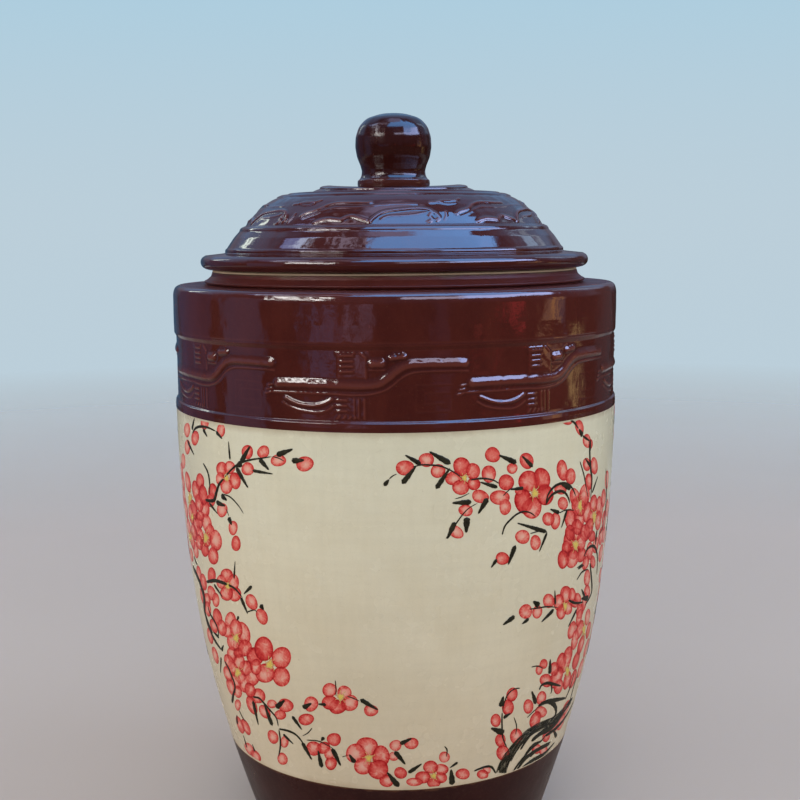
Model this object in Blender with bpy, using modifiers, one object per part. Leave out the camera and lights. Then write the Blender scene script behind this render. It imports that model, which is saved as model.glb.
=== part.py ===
"""Rice storage jar with a lift-off lid.

A tall barrel-shaped stoneware jar on a foot ring, with a wide shoulder, a low
flared neck and a domed lid.  Metres, +Z up, origin at the centre of the foot's
flat underside.  Every piece is a turned shape: a profile spun about the Z axis.
"""

import math

import bmesh
import bpy

# ---------------------------------------------------------------- dimensions
NAME = "rice_storage_jar"
GAP = 0.0003                 # air gap where two pieces touch

# Belly: height above the floor, outer radius
FOOT_RECESS = 0.003          # depth of the hollow under the foot
FOOT_RING_IN = 0.0805        # inner radius of the foot ring
FOOT_RING_OUT = 0.0958       # outer edge of the foot ring's flat
BELLY = (
    (0.0025, 0.0976),
    (0.0300, 0.1066),
    (0.0610, 0.1161),
    (0.1000, 0.1263),
    (0.1450, 0.1350),
    (0.1950, 0.1408),
    (0.2450, 0.1443),
    (0.2840, 0.1455),
)
BELLY_TOP = 0.2885           # rolled edge between the belly and the relief band
RELIEF_R = 0.1439            # ground of the relief band
RELIEF_TOP = 0.3315
BAND_R = 0.1452              # plain band under the shoulder
SHOULDER_Z = 0.3622          # flat top of the shoulder
SHOULDER_ROUND = 0.0040
NECK_ROOT_R = 0.1220
NECK_TIP_R = 0.1248          # the neck flares at its foot
NECK_TIP_Z = 0.3638
RIM_OUT = 0.1192
RIM_IN = 0.1105              # mouth radius
RIM_Z = 0.3715
WALL = 0.0085                # thickness of the jar's wall
FLOOR_THICK = 0.0100

# Lid
SEAT_Z = RIM_Z + GAP         # underside of the flange, resting on the rim
SKIRT_OUT = 0.1085           # locating skirt inside the mouth
SKIRT_IN = 0.1015
SKIRT_BOTTOM = 0.3590
FLANGE_R = 0.1270
FLANGE_TOP = 0.3807
LIP_R = 0.1104               # foot of the dome
LIP_Z = 0.3849
LEDGE_OUT = 0.1010
LEDGE_IN = 0.0975
LEDGE_Z = 0.3985
PLATEAU_R = 0.0684
PLATEAU_Z = 0.4202
DISC_R = 0.0484
CROWN_Z = 0.4230
LID_WALL = 0.0070
VENT_R = 0.0040              # hole that vents the hollow knob

# Knob
KNOB_BASE_Z = CROWN_Z + GAP
KNOB_FOOT_R = 0.0234
KNOB_WAIST_R = 0.0209
KNOB_WAIST_Z = 0.4350
KNOB_R = 0.0251
KNOB_WIDE_Z = 0.4520
KNOB_TOP_Z = 0.4718
KNOB_BORE_R = 0.0120
KNOB_WALL = 0.0065

JAR_STEPS = 48
LID_STEPS = 48
KNOB_STEPS = 32


# ------------------------------------------------------------------- helpers
def smooth_radius(points, z):
    """Radius at height z on a smooth curve through (z, r) points."""
    last = len(points) - 1
    i = 0
    while i < last - 1 and z > points[i + 1][0]:
        i += 1
    (z0, r0), (z1, r1) = points[i], points[i + 1]

    def slope(k):
        a, b = points[max(k - 1, 0)], points[min(k + 1, last)]
        return (b[1] - a[1]) / (b[0] - a[0])

    h = z1 - z0
    t = (z - z0) / h
    return (
        (2 * t**3 - 3 * t**2 + 1) * r0
        + (t**3 - 2 * t**2 + t) * h * slope(i)
        + (3 * t**2 - 2 * t**3) * r1
        + (t**3 - t**2) * h * slope(i + 1)
    )


def arc(centre, radius, start, end, count):
    """Points (r, z) on an arc; angles in degrees from the +r axis."""
    return [
        (
            centre[0] + radius * math.cos(math.radians(start + (end - start) * k / count)),
            centre[1] + radius * math.sin(math.radians(start + (end - start) * k / count)),
        )
        for k in range(count + 1)
    ]


def material(name, colour, roughness):
    made = bpy.data.materials.new(name)
    made.use_nodes = True
    shader = made.node_tree.nodes["Principled BSDF"]
    shader.inputs["Base Color"].default_value = (*colour, 1.0)
    shader.inputs["Roughness"].default_value = roughness
    shader.inputs["Metallic"].default_value = 0.0
    made.diffuse_color = (*colour, 1.0)
    return made


def turned(name, profile, steps, closed, finish, collection):
    """A profile of (r, z) points spun about Z.  It runs down its outer side."""
    mesh = bpy.data.meshes.new(name)
    shape = bmesh.new()
    points = [shape.verts.new((r, 0.0, z)) for r, z in profile]
    ends = points + points[:1] if closed else points
    for a, b in zip(ends[:-1], ends[1:]):
        shape.edges.new((a, b))
    shape.to_mesh(mesh)
    shape.free()
    obj = bpy.data.objects.new(name, mesh)
    collection.objects.link(obj)
    spin = obj.modifiers.new("Turn", "SCREW")
    spin.axis = "Z"
    spin.angle = math.tau
    spin.steps = steps
    spin.render_steps = steps
    spin.use_merge_vertices = True
    spin.merge_threshold = 0.00005
    spin.use_smooth_shade = True
    obj.data.materials.append(finish)
    return obj


# ------------------------------------------------------------------ profiles
def jar_profile():
    floor_z = FOOT_RECESS + FLOOR_THICK
    inner = [(0.0, floor_z), (0.0790, floor_z)]
    inner += arc((0.0810, floor_z + 0.0140), 0.0140, -72, -18, 3)
    for z in (0.0380, 0.0610, 0.0820, 0.1050, 0.1300, 0.1600, 0.1950, 0.2300, 0.2650):
        inner.append((smooth_radius(BELLY, z) - WALL, z))
    inner.append((RELIEF_R - WALL + 0.0010, 0.2900))
    inner += arc((RELIEF_R - WALL - 0.0125, 0.3420), 0.0125, 0, 90, 4)
    inner += [(RIM_IN + 0.0030, 0.3545), (RIM_IN, 0.3575), (RIM_IN, RIM_Z - 0.0015)]
    rim = [(RIM_IN + 0.0015, RIM_Z), (RIM_OUT - 0.0010, RIM_Z), (RIM_OUT, RIM_Z - 0.0010)]
    neck = [
        (RIM_OUT + 0.0008, RIM_Z - 0.0035),
        (NECK_TIP_R - 0.0022, NECK_TIP_Z + 0.0018),
        (NECK_TIP_R, NECK_TIP_Z),
        (NECK_TIP_R - 0.0006, NECK_TIP_Z - 0.0010),
        (NECK_ROOT_R, SHOULDER_Z),
    ]
    shoulder = [(NECK_ROOT_R + 0.0090, SHOULDER_Z - 0.0001)]
    shoulder += arc(
        (BAND_R - SHOULDER_ROUND, SHOULDER_Z - 0.0002 - SHOULDER_ROUND),
        SHOULDER_ROUND, 90, 0, 5,
    )
    band = [
        (BAND_R, RELIEF_TOP + 0.0022),
        (RELIEF_R, RELIEF_TOP),
        (RELIEF_R, BELLY_TOP + 0.0018),
        (BELLY[-1][1], BELLY_TOP),
    ]
    belly = [
        (smooth_radius(BELLY, z), z)
        for z in (0.2840, 0.2600, 0.2320, 0.2040, 0.1760, 0.1480, 0.1220,
                  0.0980, 0.0760, 0.0550, 0.0360, 0.0180, 0.0025)
    ]
    foot = [
        (FOOT_RING_OUT, 0.0),
        (FOOT_RING_IN + 0.0010, 0.0),
        (FOOT_RING_IN, FOOT_RECESS),
        (0.0, FOOT_RECESS),
    ]
    return inner + rim + neck + shoulder + band + belly + foot


def lid_profile():
    top = [
        (VENT_R, CROWN_Z),
        (KNOB_FOOT_R + 0.0010, CROWN_Z),
        (DISC_R - 0.0010, CROWN_Z - 0.0012),
        (DISC_R, CROWN_Z - 0.0022),
        (PLATEAU_R, PLATEAU_Z),
        (0.0770, 0.4179),
        (0.0835, 0.4146),
        (0.0870, 0.4118),
        (0.0920, 0.4072),
        (0.0974, 0.4006),
        (LEDGE_IN, LEDGE_Z + 0.0002),
        (LEDGE_OUT, LEDGE_Z - 0.0004),
        (0.1037, 0.3952),
        (0.1065, 0.3905),
        (LIP_R - 0.0010, LIP_Z + 0.0014),
        (LIP_R, LIP_Z),
        (LIP_R - 0.0020, LIP_Z - 0.0020),
    ]
    flange = [(0.1130, 0.3819), (0.1236, FLANGE_TOP)]
    flange += arc((FLANGE_R - 0.0042, 0.3766), 0.0042, 58, -58, 4)
    flange += [(0.1235, SEAT_Z + 0.0004), (RIM_OUT + 0.0010, SEAT_Z)]
    skirt = [
        (SKIRT_OUT, SEAT_Z),
        (SKIRT_OUT - 0.0008, SKIRT_BOTTOM + 0.0010),
        (SKIRT_OUT - 0.0020, SKIRT_BOTTOM),
        (SKIRT_IN + 0.0010, SKIRT_BOTTOM),
        (SKIRT_IN, SKIRT_BOTTOM + 0.0010),
    ]
    under = [
        (SKIRT_IN, 0.3800),
        (0.1000, 0.3850),
        (0.0978, 0.3912),
        (0.0920, 0.3962),
        (0.0880, 0.4020),
        (0.0826, 0.4070),
        (0.0755, 0.4110),
        (0.0661, 0.4136),
        (0.0475, CROWN_Z - 0.0016 - LID_WALL),
        (VENT_R, CROWN_Z - LID_WALL),
    ]
    return top + flange + skirt + under


def knob_profile():
    outer = [(0.0, KNOB_TOP_Z)]
    # Flattened crown, then the ball's side, the waist and the foot
    outer += [
        (0.0070, KNOB_TOP_Z - 0.0006),
        (0.0125, KNOB_TOP_Z - 0.0020),
        (0.0165, KNOB_TOP_Z - 0.0039),
        (0.0196, KNOB_TOP_Z - 0.0062),
        (0.0220, KNOB_TOP_Z - 0.0090),
        (0.0238, KNOB_TOP_Z - 0.0124),
        (0.0248, KNOB_TOP_Z - 0.0160),
        (KNOB_R, KNOB_WIDE_Z),
        (0.0246, KNOB_WIDE_Z - 0.0038),
        (0.0236, KNOB_WIDE_Z - 0.0078),
        (0.0222, KNOB_WIDE_Z - 0.0122),
        (KNOB_WAIST_R, KNOB_WAIST_Z),
        (0.0212, KNOB_WAIST_Z - 0.0030),
        (0.0224, 0.4295),
        (KNOB_FOOT_R, 0.4283),
        (KNOB_FOOT_R, KNOB_BASE_Z + 0.0004),
        (KNOB_FOOT_R - 0.0004, KNOB_BASE_Z),
        (KNOB_BORE_R, KNOB_BASE_Z),
    ]
    # Hollow inside, open at the foot
    inner = [
        (KNOB_BORE_R, KNOB_BASE_Z + 0.0060),
        (KNOB_WAIST_R - KNOB_WALL, KNOB_WAIST_Z + 0.0020),
        (KNOB_R - KNOB_WALL, KNOB_WIDE_Z - 0.0010),
        (0.0165, KNOB_WIDE_Z + 0.0070),
        (0.0105, KNOB_WIDE_Z + 0.0115),
        (0.0, KNOB_TOP_Z - KNOB_WALL),
    ]
    return outer + inner


# --------------------------------------------------------------------- build
for old in list(bpy.data.objects):
    bpy.data.objects.remove(old, do_unlink=True)

parts = bpy.data.collections.new(NAME)
bpy.context.scene.collection.children.link(parts)

jar_glaze = material("jar_glaze", (0.560, 0.500, 0.370), 0.28)
lid_glaze = material("lid_glaze", (0.060, 0.017, 0.013), 0.12)
knob_glaze = material("knob_glaze", (0.045, 0.013, 0.011), 0.10)

jar_body = turned("jar_body", jar_profile(), JAR_STEPS, False, jar_glaze, parts)

# The lid's two pieces move together: straight up, out of the mouth.
lid_lift = bpy.data.objects.new("lid_lift", None)
lid_lift.empty_display_type = "SINGLE_ARROW"
lid_lift.empty_display_size = 0.05
lid_lift.location = (0.0, 0.0, 0.0)
parts.objects.link(lid_lift)

lid_shell = turned("lid_shell", lid_profile(), LID_STEPS, True, lid_glaze, parts)
lid_shell.parent = lid_lift
lid_knob = turned("lid_knob", knob_profile(), KNOB_STEPS, False, knob_glaze, parts)
lid_knob.parent = lid_lift
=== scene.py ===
import math

import bpy
import numpy as np
from mathutils import Euler, Matrix, Vector


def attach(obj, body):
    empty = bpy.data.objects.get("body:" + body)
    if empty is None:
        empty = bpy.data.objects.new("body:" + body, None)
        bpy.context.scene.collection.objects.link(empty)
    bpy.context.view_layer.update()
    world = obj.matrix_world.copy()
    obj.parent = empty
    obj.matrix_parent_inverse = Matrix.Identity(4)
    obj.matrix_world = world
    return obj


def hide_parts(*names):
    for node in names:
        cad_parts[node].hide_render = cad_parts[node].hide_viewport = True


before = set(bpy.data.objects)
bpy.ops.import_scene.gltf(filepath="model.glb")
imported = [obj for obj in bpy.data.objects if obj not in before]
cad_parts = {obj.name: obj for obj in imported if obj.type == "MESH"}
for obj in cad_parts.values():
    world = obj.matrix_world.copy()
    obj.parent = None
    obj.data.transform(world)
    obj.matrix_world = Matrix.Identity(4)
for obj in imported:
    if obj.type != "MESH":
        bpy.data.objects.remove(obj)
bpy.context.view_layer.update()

SEED = 41
rng = np.random.default_rng(SEED)


# =====================================================================
# Sizes.  Metres, the same frame as the CAD: z = 0 under the foot ring.
# =====================================================================
BELLY = (
    (0.0025, 0.0976), (0.0300, 0.1066), (0.0610, 0.1161), (0.1000, 0.1263),
    (0.1450, 0.1350), (0.1950, 0.1408), (0.2450, 0.1443), (0.2840, 0.1453),
)
FOOT_LINE = 0.0610      # the dark foot glaze ends here
CREAM_LINE = 0.2840     # the brown shoulder glaze ends here
BELLY_TOP = 0.2885
RELIEF_R = 0.1439
RELIEF_TOP = 0.3303
BAND_R = 0.1452
SHOULDER_Z = 0.3622
SHOULDER_ROUND = 0.0040
WALL = 0.0085
FLOOR_Z = 0.0130
RIM_Z = 0.3715
RIM_IN, RIM_OUT = 0.1105, 0.1192

# Zones of a turned skin, each with its own material slot
BROWN, CREAM, FOOT, CLAY, INSIDE, NECK = range(6)


def belly_radius(z):
    """Radius of the belly at height z, on the same smooth curve as the CAD."""
    last = len(BELLY) - 1
    i = 0
    while i < last - 1 and z > BELLY[i + 1][0]:
        i += 1
    (z0, r0), (z1, r1) = BELLY[i], BELLY[i + 1]

    def slope(k):
        a, b = BELLY[max(k - 1, 0)], BELLY[min(k + 1, last)]
        return (b[1] - a[1]) / (b[0] - a[0])

    h = z1 - z0
    t = (z - z0) / h
    return (
        (2 * t**3 - 3 * t**2 + 1) * r0 + (t**3 - 2 * t**2 + t) * h * slope(i)
        + (3 * t**2 - 2 * t**3) * r1 + (t**3 - t**2) * h * slope(i + 1)
    )


BELLY_Z = np.linspace(0.0025, 0.2840, 400)
BELLY_R = np.array([belly_radius(z) for z in BELLY_Z])


# =====================================================================
# Profiles: corner points with fillets, then even steps
# =====================================================================
def filleted(corners, steps=5):
    """Points (r, z) along corner points (r, z, fillet): each corner with a fillet becomes an arc."""
    points = []
    last = len(corners) - 1
    for i, (r, z, fillet) in enumerate(corners):
        here = np.array([r, z])
        if fillet <= 0 or i in (0, last):
            points.append(here)
            continue
        before = np.array(corners[i - 1][:2]) - here
        after = np.array(corners[i + 1][:2]) - here
        lb, la = np.linalg.norm(before), np.linalg.norm(after)
        before, after = before / lb, after / la
        cosine = float(np.clip(before @ after, -1, 1))
        half = math.acos(cosine) / 2
        reach = min(fillet / max(math.tan(half), 1e-6), 0.48 * lb, 0.48 * la)
        start, end = here + before * reach, here + after * reach
        for k in range(steps + 1):
            t = k / steps
            points.append((1 - t) ** 2 * start + 2 * t * (1 - t) * here + t**2 * end)
    return points


def stepped(points, longest):
    """The same line with no step longer than this."""
    made = [points[0]]
    for a, b in zip(points[:-1], points[1:]):
        count = max(1, int(math.ceil(np.linalg.norm(b - a) / longest)))
        made += [a + (b - a) * k / count for k in range(1, count + 1)]
    return made


def arc(centre, radius, start, end, count):
    return [
        (centre[0] + radius * math.cos(math.radians(start + (end - start) * k / count)),
         centre[1] + radius * math.sin(math.radians(start + (end - start) * k / count)), 0.0)
        for k in range(count + 1)
    ]


class Ring:
    """One turn of points about Z.  r and z are numbers, or arrays of n values."""

    def __init__(self, r, z, n, zone, **values):
        self.r, self.z, self.n, self.zone, self.values = r, z, n, zone, values


def rings(corners, n, zone, longest=0.003, steps=5):
    return [Ring(p[0], p[1], n, zone) for p in stepped(filleted(corners, steps), longest)]


def angles(n):
    """Degrees from the front, -180 at the back, growing towards +X."""
    return -180.0 + 360.0 * np.arange(n) / n


def link(obj):
    bpy.context.scene.collection.objects.link(obj)
    return obj


def turned_skin(name, parts, materials, closed=False, shares=None, extra=()):
    """One closed surface through the rings.  A ring's zone is that of the faces after it.

    The map OFBake lays each zone out as its own strips, so that their shared edges stay sharp.
    """
    points, values = [], {key: [] for key in extra}
    starts, total = [], 0
    for ring in parts:
        starts.append(total)
        total += ring.n
        if ring.n == 1:
            points.append(np.array([[0.0, 0.0, float(np.mean(ring.z))]]))
        else:
            a = np.radians(angles(ring.n))
            r = np.broadcast_to(ring.r, (ring.n,))
            z = np.broadcast_to(ring.z, (ring.n,))
            points.append(np.stack([r * np.sin(a), -r * np.cos(a), z], axis=1))
        for key in extra:
            values[key].append(np.broadcast_to(ring.values.get(key, 0.0), (ring.n,)))
    points = np.concatenate(points)

    mean_r = [float(np.mean(p.r)) for p in parts]
    mean_z = [float(np.mean(p.z)) for p in parts]
    count = len(parts)
    pairs = [(i, i + 1) for i in range(count - 1)] + ([(count - 1, 0)] if closed else [])
    lengths = [math.hypot(mean_r[j] - mean_r[i], mean_z[j] - mean_z[i]) for i, j in pairs]
    shares = shares or {}
    # strips: runs of one zone, one above another
    runs, run = [], None
    for k, (i, j) in enumerate(pairs):
        if run is None or parts[i].zone != run["zone"]:
            run = {"zone": parts[i].zone, "pairs": [], "size": 0.0}
            runs.append(run)
        run["pairs"].append(k)
        run["size"] += lengths[k] * shares.get(parts[i].zone, 1.0)
    margin = 0.006
    scale = (1.0 - margin * (len(runs) + 1)) / sum(r["size"] for r in runs)
    v_of = {}
    at = margin
    for run in runs:
        for k in run["pairs"]:
            step = lengths[k] * shares.get(run["zone"], 1.0) * scale
            v_of[k] = (at, at + step)
            at += step
        at += margin

    faces, loops, slots = [], [], []

    def add(k, corners, zone):
        i, j = pairs[k]
        face, uv = [], []
        for which, column in corners:
            ring = i if which == 0 else j
            n = parts[ring].n
            face.append(starts[ring] + (column % n if n > 1 else 0))
            u = (column + (0.5 if n == 1 else 0.0)) / (n if n > 1 else max(parts[i].n, parts[j].n))
            uv.append((0.004 + 0.992 * u, v_of[k][0] if which == 0 else v_of[k][1]))
        faces.append(face)
        loops.extend(uv)
        slots.append(zone)

    for k, (i, j) in enumerate(pairs):
        a, b, zone = parts[i].n, parts[j].n, parts[i].zone
        if a == b:
            for c in range(a):
                add(k, ((0, c), (1, c), (1, c + 1), (0, c + 1)), zone)
        elif a == 1:
            for c in range(b):
                add(k, ((0, c), (1, c), (1, c + 1)), zone)
        elif b == 1:
            for c in range(a):
                add(k, ((0, c), (1, c), (0, c + 1)), zone)
        elif b == 2 * a:
            for c in range(a):
                add(k, ((0, c), (1, 2 * c), (1, 2 * c + 1)), zone)
                add(k, ((0, c), (1, 2 * c + 1), (0, c + 1)), zone)
                add(k, ((0, c + 1), (1, 2 * c + 1), (1, 2 * c + 2)), zone)
        elif a == 2 * b:
            for c in range(b):
                add(k, ((0, 2 * c), (1, c), (0, 2 * c + 1)), zone)
                add(k, ((1, c), (1, c + 1), (0, 2 * c + 1)), zone)
                add(k, ((0, 2 * c + 1), (1, c + 1), (0, 2 * c + 2)), zone)
        else:
            raise ValueError(f"{name}: rings of {a} and {b} points can't be joined")

    mesh = bpy.data.meshes.new(name)
    mesh.from_pydata(points.tolist(), [], faces)
    layer = mesh.uv_layers.new(name="OFBake")
    layer.data.foreach_set("uv", np.array(loops, np.float32).ravel())
    mesh.polygons.foreach_set("use_smooth", np.ones(len(faces), bool))
    used = sorted(set(slots))
    index = {zone: k for k, zone in enumerate(used)}
    mesh.polygons.foreach_set("material_index", np.array([index[s] for s in slots], np.int32))
    for zone in used:
        mesh.materials.append(materials[zone])
    for key in extra:
        attribute = mesh.attributes.new(key, "FLOAT", "POINT")
        attribute.data.foreach_set("value", np.concatenate(values[key]).astype(np.float32))
    mesh.update()
    return link(bpy.data.objects.new(name, mesh))


# =====================================================================
# Surface waves of a hand-finished glaze, and relief
# =====================================================================
def waves(count, longest, shortest, seed):
    """Wave terms that close round the turn: (turns per circle, per metre of height, phase, share)."""
    pick = np.random.default_rng(seed)
    made = []
    for _ in range(count):
        size = math.exp(pick.uniform(math.log(shortest), math.log(longest)))
        lean = pick.uniform(-1.0, 1.0)
        around = max(1, int(round(0.905 / size * math.cos(lean))))
        up = math.sin(lean) * 2 * math.pi / size
        made.append((around, up, pick.uniform(0, 2 * math.pi), (size / longest) ** 0.8))
    total = math.sqrt(sum(m[3] ** 2 for m in made) / 2)
    return [(a, u, p, s / total) for a, u, p, s in made]


def wavy(terms, degrees, z):
    a = np.radians(degrees)
    out = np.zeros(np.broadcast(a, z).shape)
    for around, up, phase, share in terms:
        out = out + share * np.sin(around * a + up * z + phase)
    return out


def path_distance(x, y, path):
    """Distance of every point to a line through the path's points, and how far it lies above the line."""
    best, above = np.full(x.shape, 1e9), np.zeros(x.shape)
    for (x0, y0), (x1, y1) in zip(path[:-1], path[1:]):
        dx, dy = x1 - x0, y1 - y0
        t = np.clip(((x - x0) * dx + (y - y0) * dy) / max(dx * dx + dy * dy, 1e-12), 0, 1)
        away, over = np.hypot(x - x0 - t * dx, y - y0 - t * dy), y - y0 - t * dy
        closer = away < best
        best, above = np.where(closer, away, best), np.where(closer, over, above)
    return best, above


def ridge(distance, above, reach):
    """Section of a raised ribbon: a long even slope on its upper side, a round shoulder on its lower side."""
    t = np.clip(distance / reach, 0, 1)
    bell = 1 - t * t * (3 - 2 * t)
    upper = 0.72 * (1 - t) + 0.28 * bell
    s = np.clip((t - 0.30) / 0.70, 0, 1)
    lower = 1 - s * s * (3 - 2 * s)
    lean = 0.5 + 0.5 * above / np.maximum(distance, 1e-6)
    return lower + (upper - lower) * lean


def smoothed(points, per=8):
    """A Catmull-Rom line through the points."""
    p = [np.array(q, float) for q in points]
    if len(p) < 3:
        return p
    ends = [2 * p[0] - p[1]] + p + [2 * p[-1] - p[-2]]
    made = []
    for a, b, c, d in zip(ends[:-3], ends[1:-2], ends[2:-1], ends[3:]):
        for k in range(per):
            t = k / per
            made.append(0.5 * (2 * b + (c - a) * t + (2 * a - 5 * b + 4 * c - d) * t**2
                               + (3 * b - a - 3 * c + d) * t**3))
    return made + [p[-1]]


def step_up(distance, half_width, soft):
    """1 on a stroke, falling to 0 over the soft width at its edge."""
    t = np.clip((half_width + soft / 2 - distance) / soft, 0, 1)
    return t * t * (3 - 2 * t)


def softened(field, times=1):
    """Blur by a small kernel; columns close round the turn, and rows end."""
    for _ in range(times):
        field = (np.roll(field, 1, 1) + 2 * field + np.roll(field, -1, 1)) / 4
        padded = np.vstack([field[:1], field, field[-1:]])
        field = (padded[:-2] + 2 * padded[1:-1] + padded[2:]) / 4
    return field


# Shoulder relief: one repeat of eight.  Degrees from its middle, mm above the belly's rolled edge.
# kind, half width mm, height mm, soft edge mm, smooth the line, points
SHOULDER = (
    ("band", 3.05, 1.12, 0.8, True, ((-27.6, 22.3), (-21.8, 22.5), (-13.0, 22.4), (-6.8, 22.2), (-3.7, 23.2), (-1.7, 26.3), (0.1, 29.9), (2.2, 32.9), (5.2, 34.0), (10.5, 34.0), (15.6, 33.7))),
    ("line", 0.28, 0.46, 0.8, True, ((-30.0, 17.0), (-20.0, 17.1), (-13.8, 17.0), (-9.5, 16.5), (-5.9, 17.0), (-2.8, 18.9), (-0.9, 21.6), (0.7, 25.0), (2.7, 28.0), (5.6, 29.5), (12.6, 29.6), (16.4, 29.3))),
    ("line", 0.22, 0.44, 0.8, True, ((-14.4, 22.4), (-8.4, 22.1), (-5.2, 22.8), (-3.0, 25.0), (-1.2, 28.2))),
    ("line", 0.22, 0.44, 0.8, True, ((-14.6, 20.5), (-8.2, 20.3), (-4.6, 20.9), (-2.2, 23.4), (-0.2, 26.9))),
    ("band", 0.95, 0.80, 0.8, True, ((-25.6, 14.2), (-24.0, 12.4), (-22.4, 11.1), (-20.4, 10.3), (-18.0, 10.5), (-15.9, 12.0), (-14.5, 14.0))),
    ("line", 0.35, 0.45, 0.9, True, ((-26.4, 11.6), (-24.8, 9.2), (-22.4, 7.4), (-19.7, 6.5), (-17.6, 6.3), (-15.7, 7.5), (-14.0, 10.2))),
    ("line", 0.22, 0.26, 0.8, False, ((-22.4, 17.8), (-21.9, 20.4))),
    ("line", 0.22, 0.26, 0.8, False, ((-21.1, 17.8), (-20.6, 20.4))),
    ("line", 0.22, 0.26, 0.8, False, ((-19.8, 17.8), (-19.3, 20.4))),
    ("line", 0.22, 0.26, 0.8, False, ((-18.5, 17.8), (-18.0, 20.4))),
    ("line", 0.22, 0.26, 0.8, False, ((-17.2, 17.8), (-16.7, 20.4))),
    ("pad", 0.0, 0.30, 1.2, False, ((-13.6, 43.2), (-8.7, 43.2), (-6.6, 37.4), (-6.6, 25.4), (-12.8, 25.4), (-12.8, 37.0))),
    ("line", 0.30, 0.45, 0.9, False, ((-8.9, 43.0), (-6.5, 37.5), (-6.5, 25.5))),
    ("line", 0.22, 0.30, 0.9, False, ((-14.0, 43.0), (-12.9, 38.5), (-12.9, 25.8))),
    ("line", 0.38, 0.60, 0.9, False, ((-12.3, 38.6), (-9.5, 38.7))),
    ("line", 0.38, 0.60, 0.9, False, ((-12.3, 35.4), (-9.6, 35.5))),
    ("line", 0.38, 0.60, 0.9, False, ((-12.3, 32.5), (-9.6, 32.6))),
    ("line", 0.38, 0.60, 0.9, False, ((-12.3, 29.6), (-9.6, 29.7))),
    ("line", 0.34, 0.55, 0.9, False, ((-12.4, 40.2), (-11.5, 42.9))),
    ("line", 0.34, 0.55, 0.9, False, ((-11.4, 40.3), (-10.5, 43.0))),
    ("line", 0.34, 0.55, 0.9, False, ((-10.4, 40.2), (-9.5, 42.9))),
    ("line", 0.34, 0.55, 0.9, False, ((-9.4, 39.9), (-8.6, 42.3))),
    ("band", 2.80, 1.40, 1.0, False, ((-5.1, 34.2), (-3.2, 34.4))),
    ("line", 0.36, 0.50, 0.9, False, ((-5.9, 30.6), (-2.4, 30.6))),
    ("band", 1.75, 1.25, 0.9, True, ((-0.9, 37.4), (1.9, 38.1))),
    ("line", 0.30, 0.50, 0.8, False, ((-0.4, 39.2), (-0.3, 41.0))),
    ("line", 0.30, 0.50, 0.8, False, ((0.5, 39.4), (0.7, 41.2))),
    ("line", 0.30, 0.50, 0.8, False, ((1.4, 39.5), (1.7, 41.2))),
    ("line", 0.38, 0.60, 0.9, False, ((-13.3, 13.5), (-11.0, 13.6))),
    ("line", 0.38, 0.60, 0.9, False, ((-13.3, 10.4), (-11.1, 10.5))),
    ("line", 0.38, 0.60, 0.9, False, ((-13.3, 7.4), (-11.1, 7.5))),
    ("line", 0.34, 0.55, 0.9, False, ((-13.8, 1.0), (-12.6, 4.9))),
    ("line", 0.34, 0.55, 0.9, False, ((-12.4, 0.9), (-11.3, 4.8))),
    ("line", 0.34, 0.55, 0.9, False, ((-11.1, 0.8), (-10.0, 4.6))),
    ("line", 0.34, 0.55, 0.9, False, ((-9.8, 0.8), (-8.9, 4.2))),
    ("line", 0.30, 0.50, 0.8, False, ((-9.3, 14.6), (-9.3, 3.4))),
    ("line", 0.30, 0.50, 0.8, False, ((-8.3, 14.6), (-8.3, 2.8))),
    ("line", 0.34, 0.55, 0.9, False, ((-7.0, 14.4), (-7.0, 2.8))),
    ("line", 0.34, 0.60, 0.9, False, ((-30.3, 20.8), (-28.9, 21.4))),
    ("line", 0.34, 0.60, 0.9, False, ((-30.7, 18.3), (-29.3, 18.9))),
    ("line", 0.34, 0.60, 0.9, False, ((-31.1, 15.9), (-29.9, 16.5))),
    ("line", 0.20, 0.065, 1.1, False, ((13.0, 22.0), (4.6, 22.2), (4.4, 7.2), (12.5, 6.8), (12.5, 17.4), (6.5, 17.6), (6.4, 11.6), (10.6, 11.4))),
    ("line", 0.20, 0.14, 1.0, False, ((-27.4, 41.2), (-14.6, 41.4))),
    ("line", 0.20, 0.14, 1.0, False, ((2.8, 41.4), (15.8, 41.2))),
)

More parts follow.
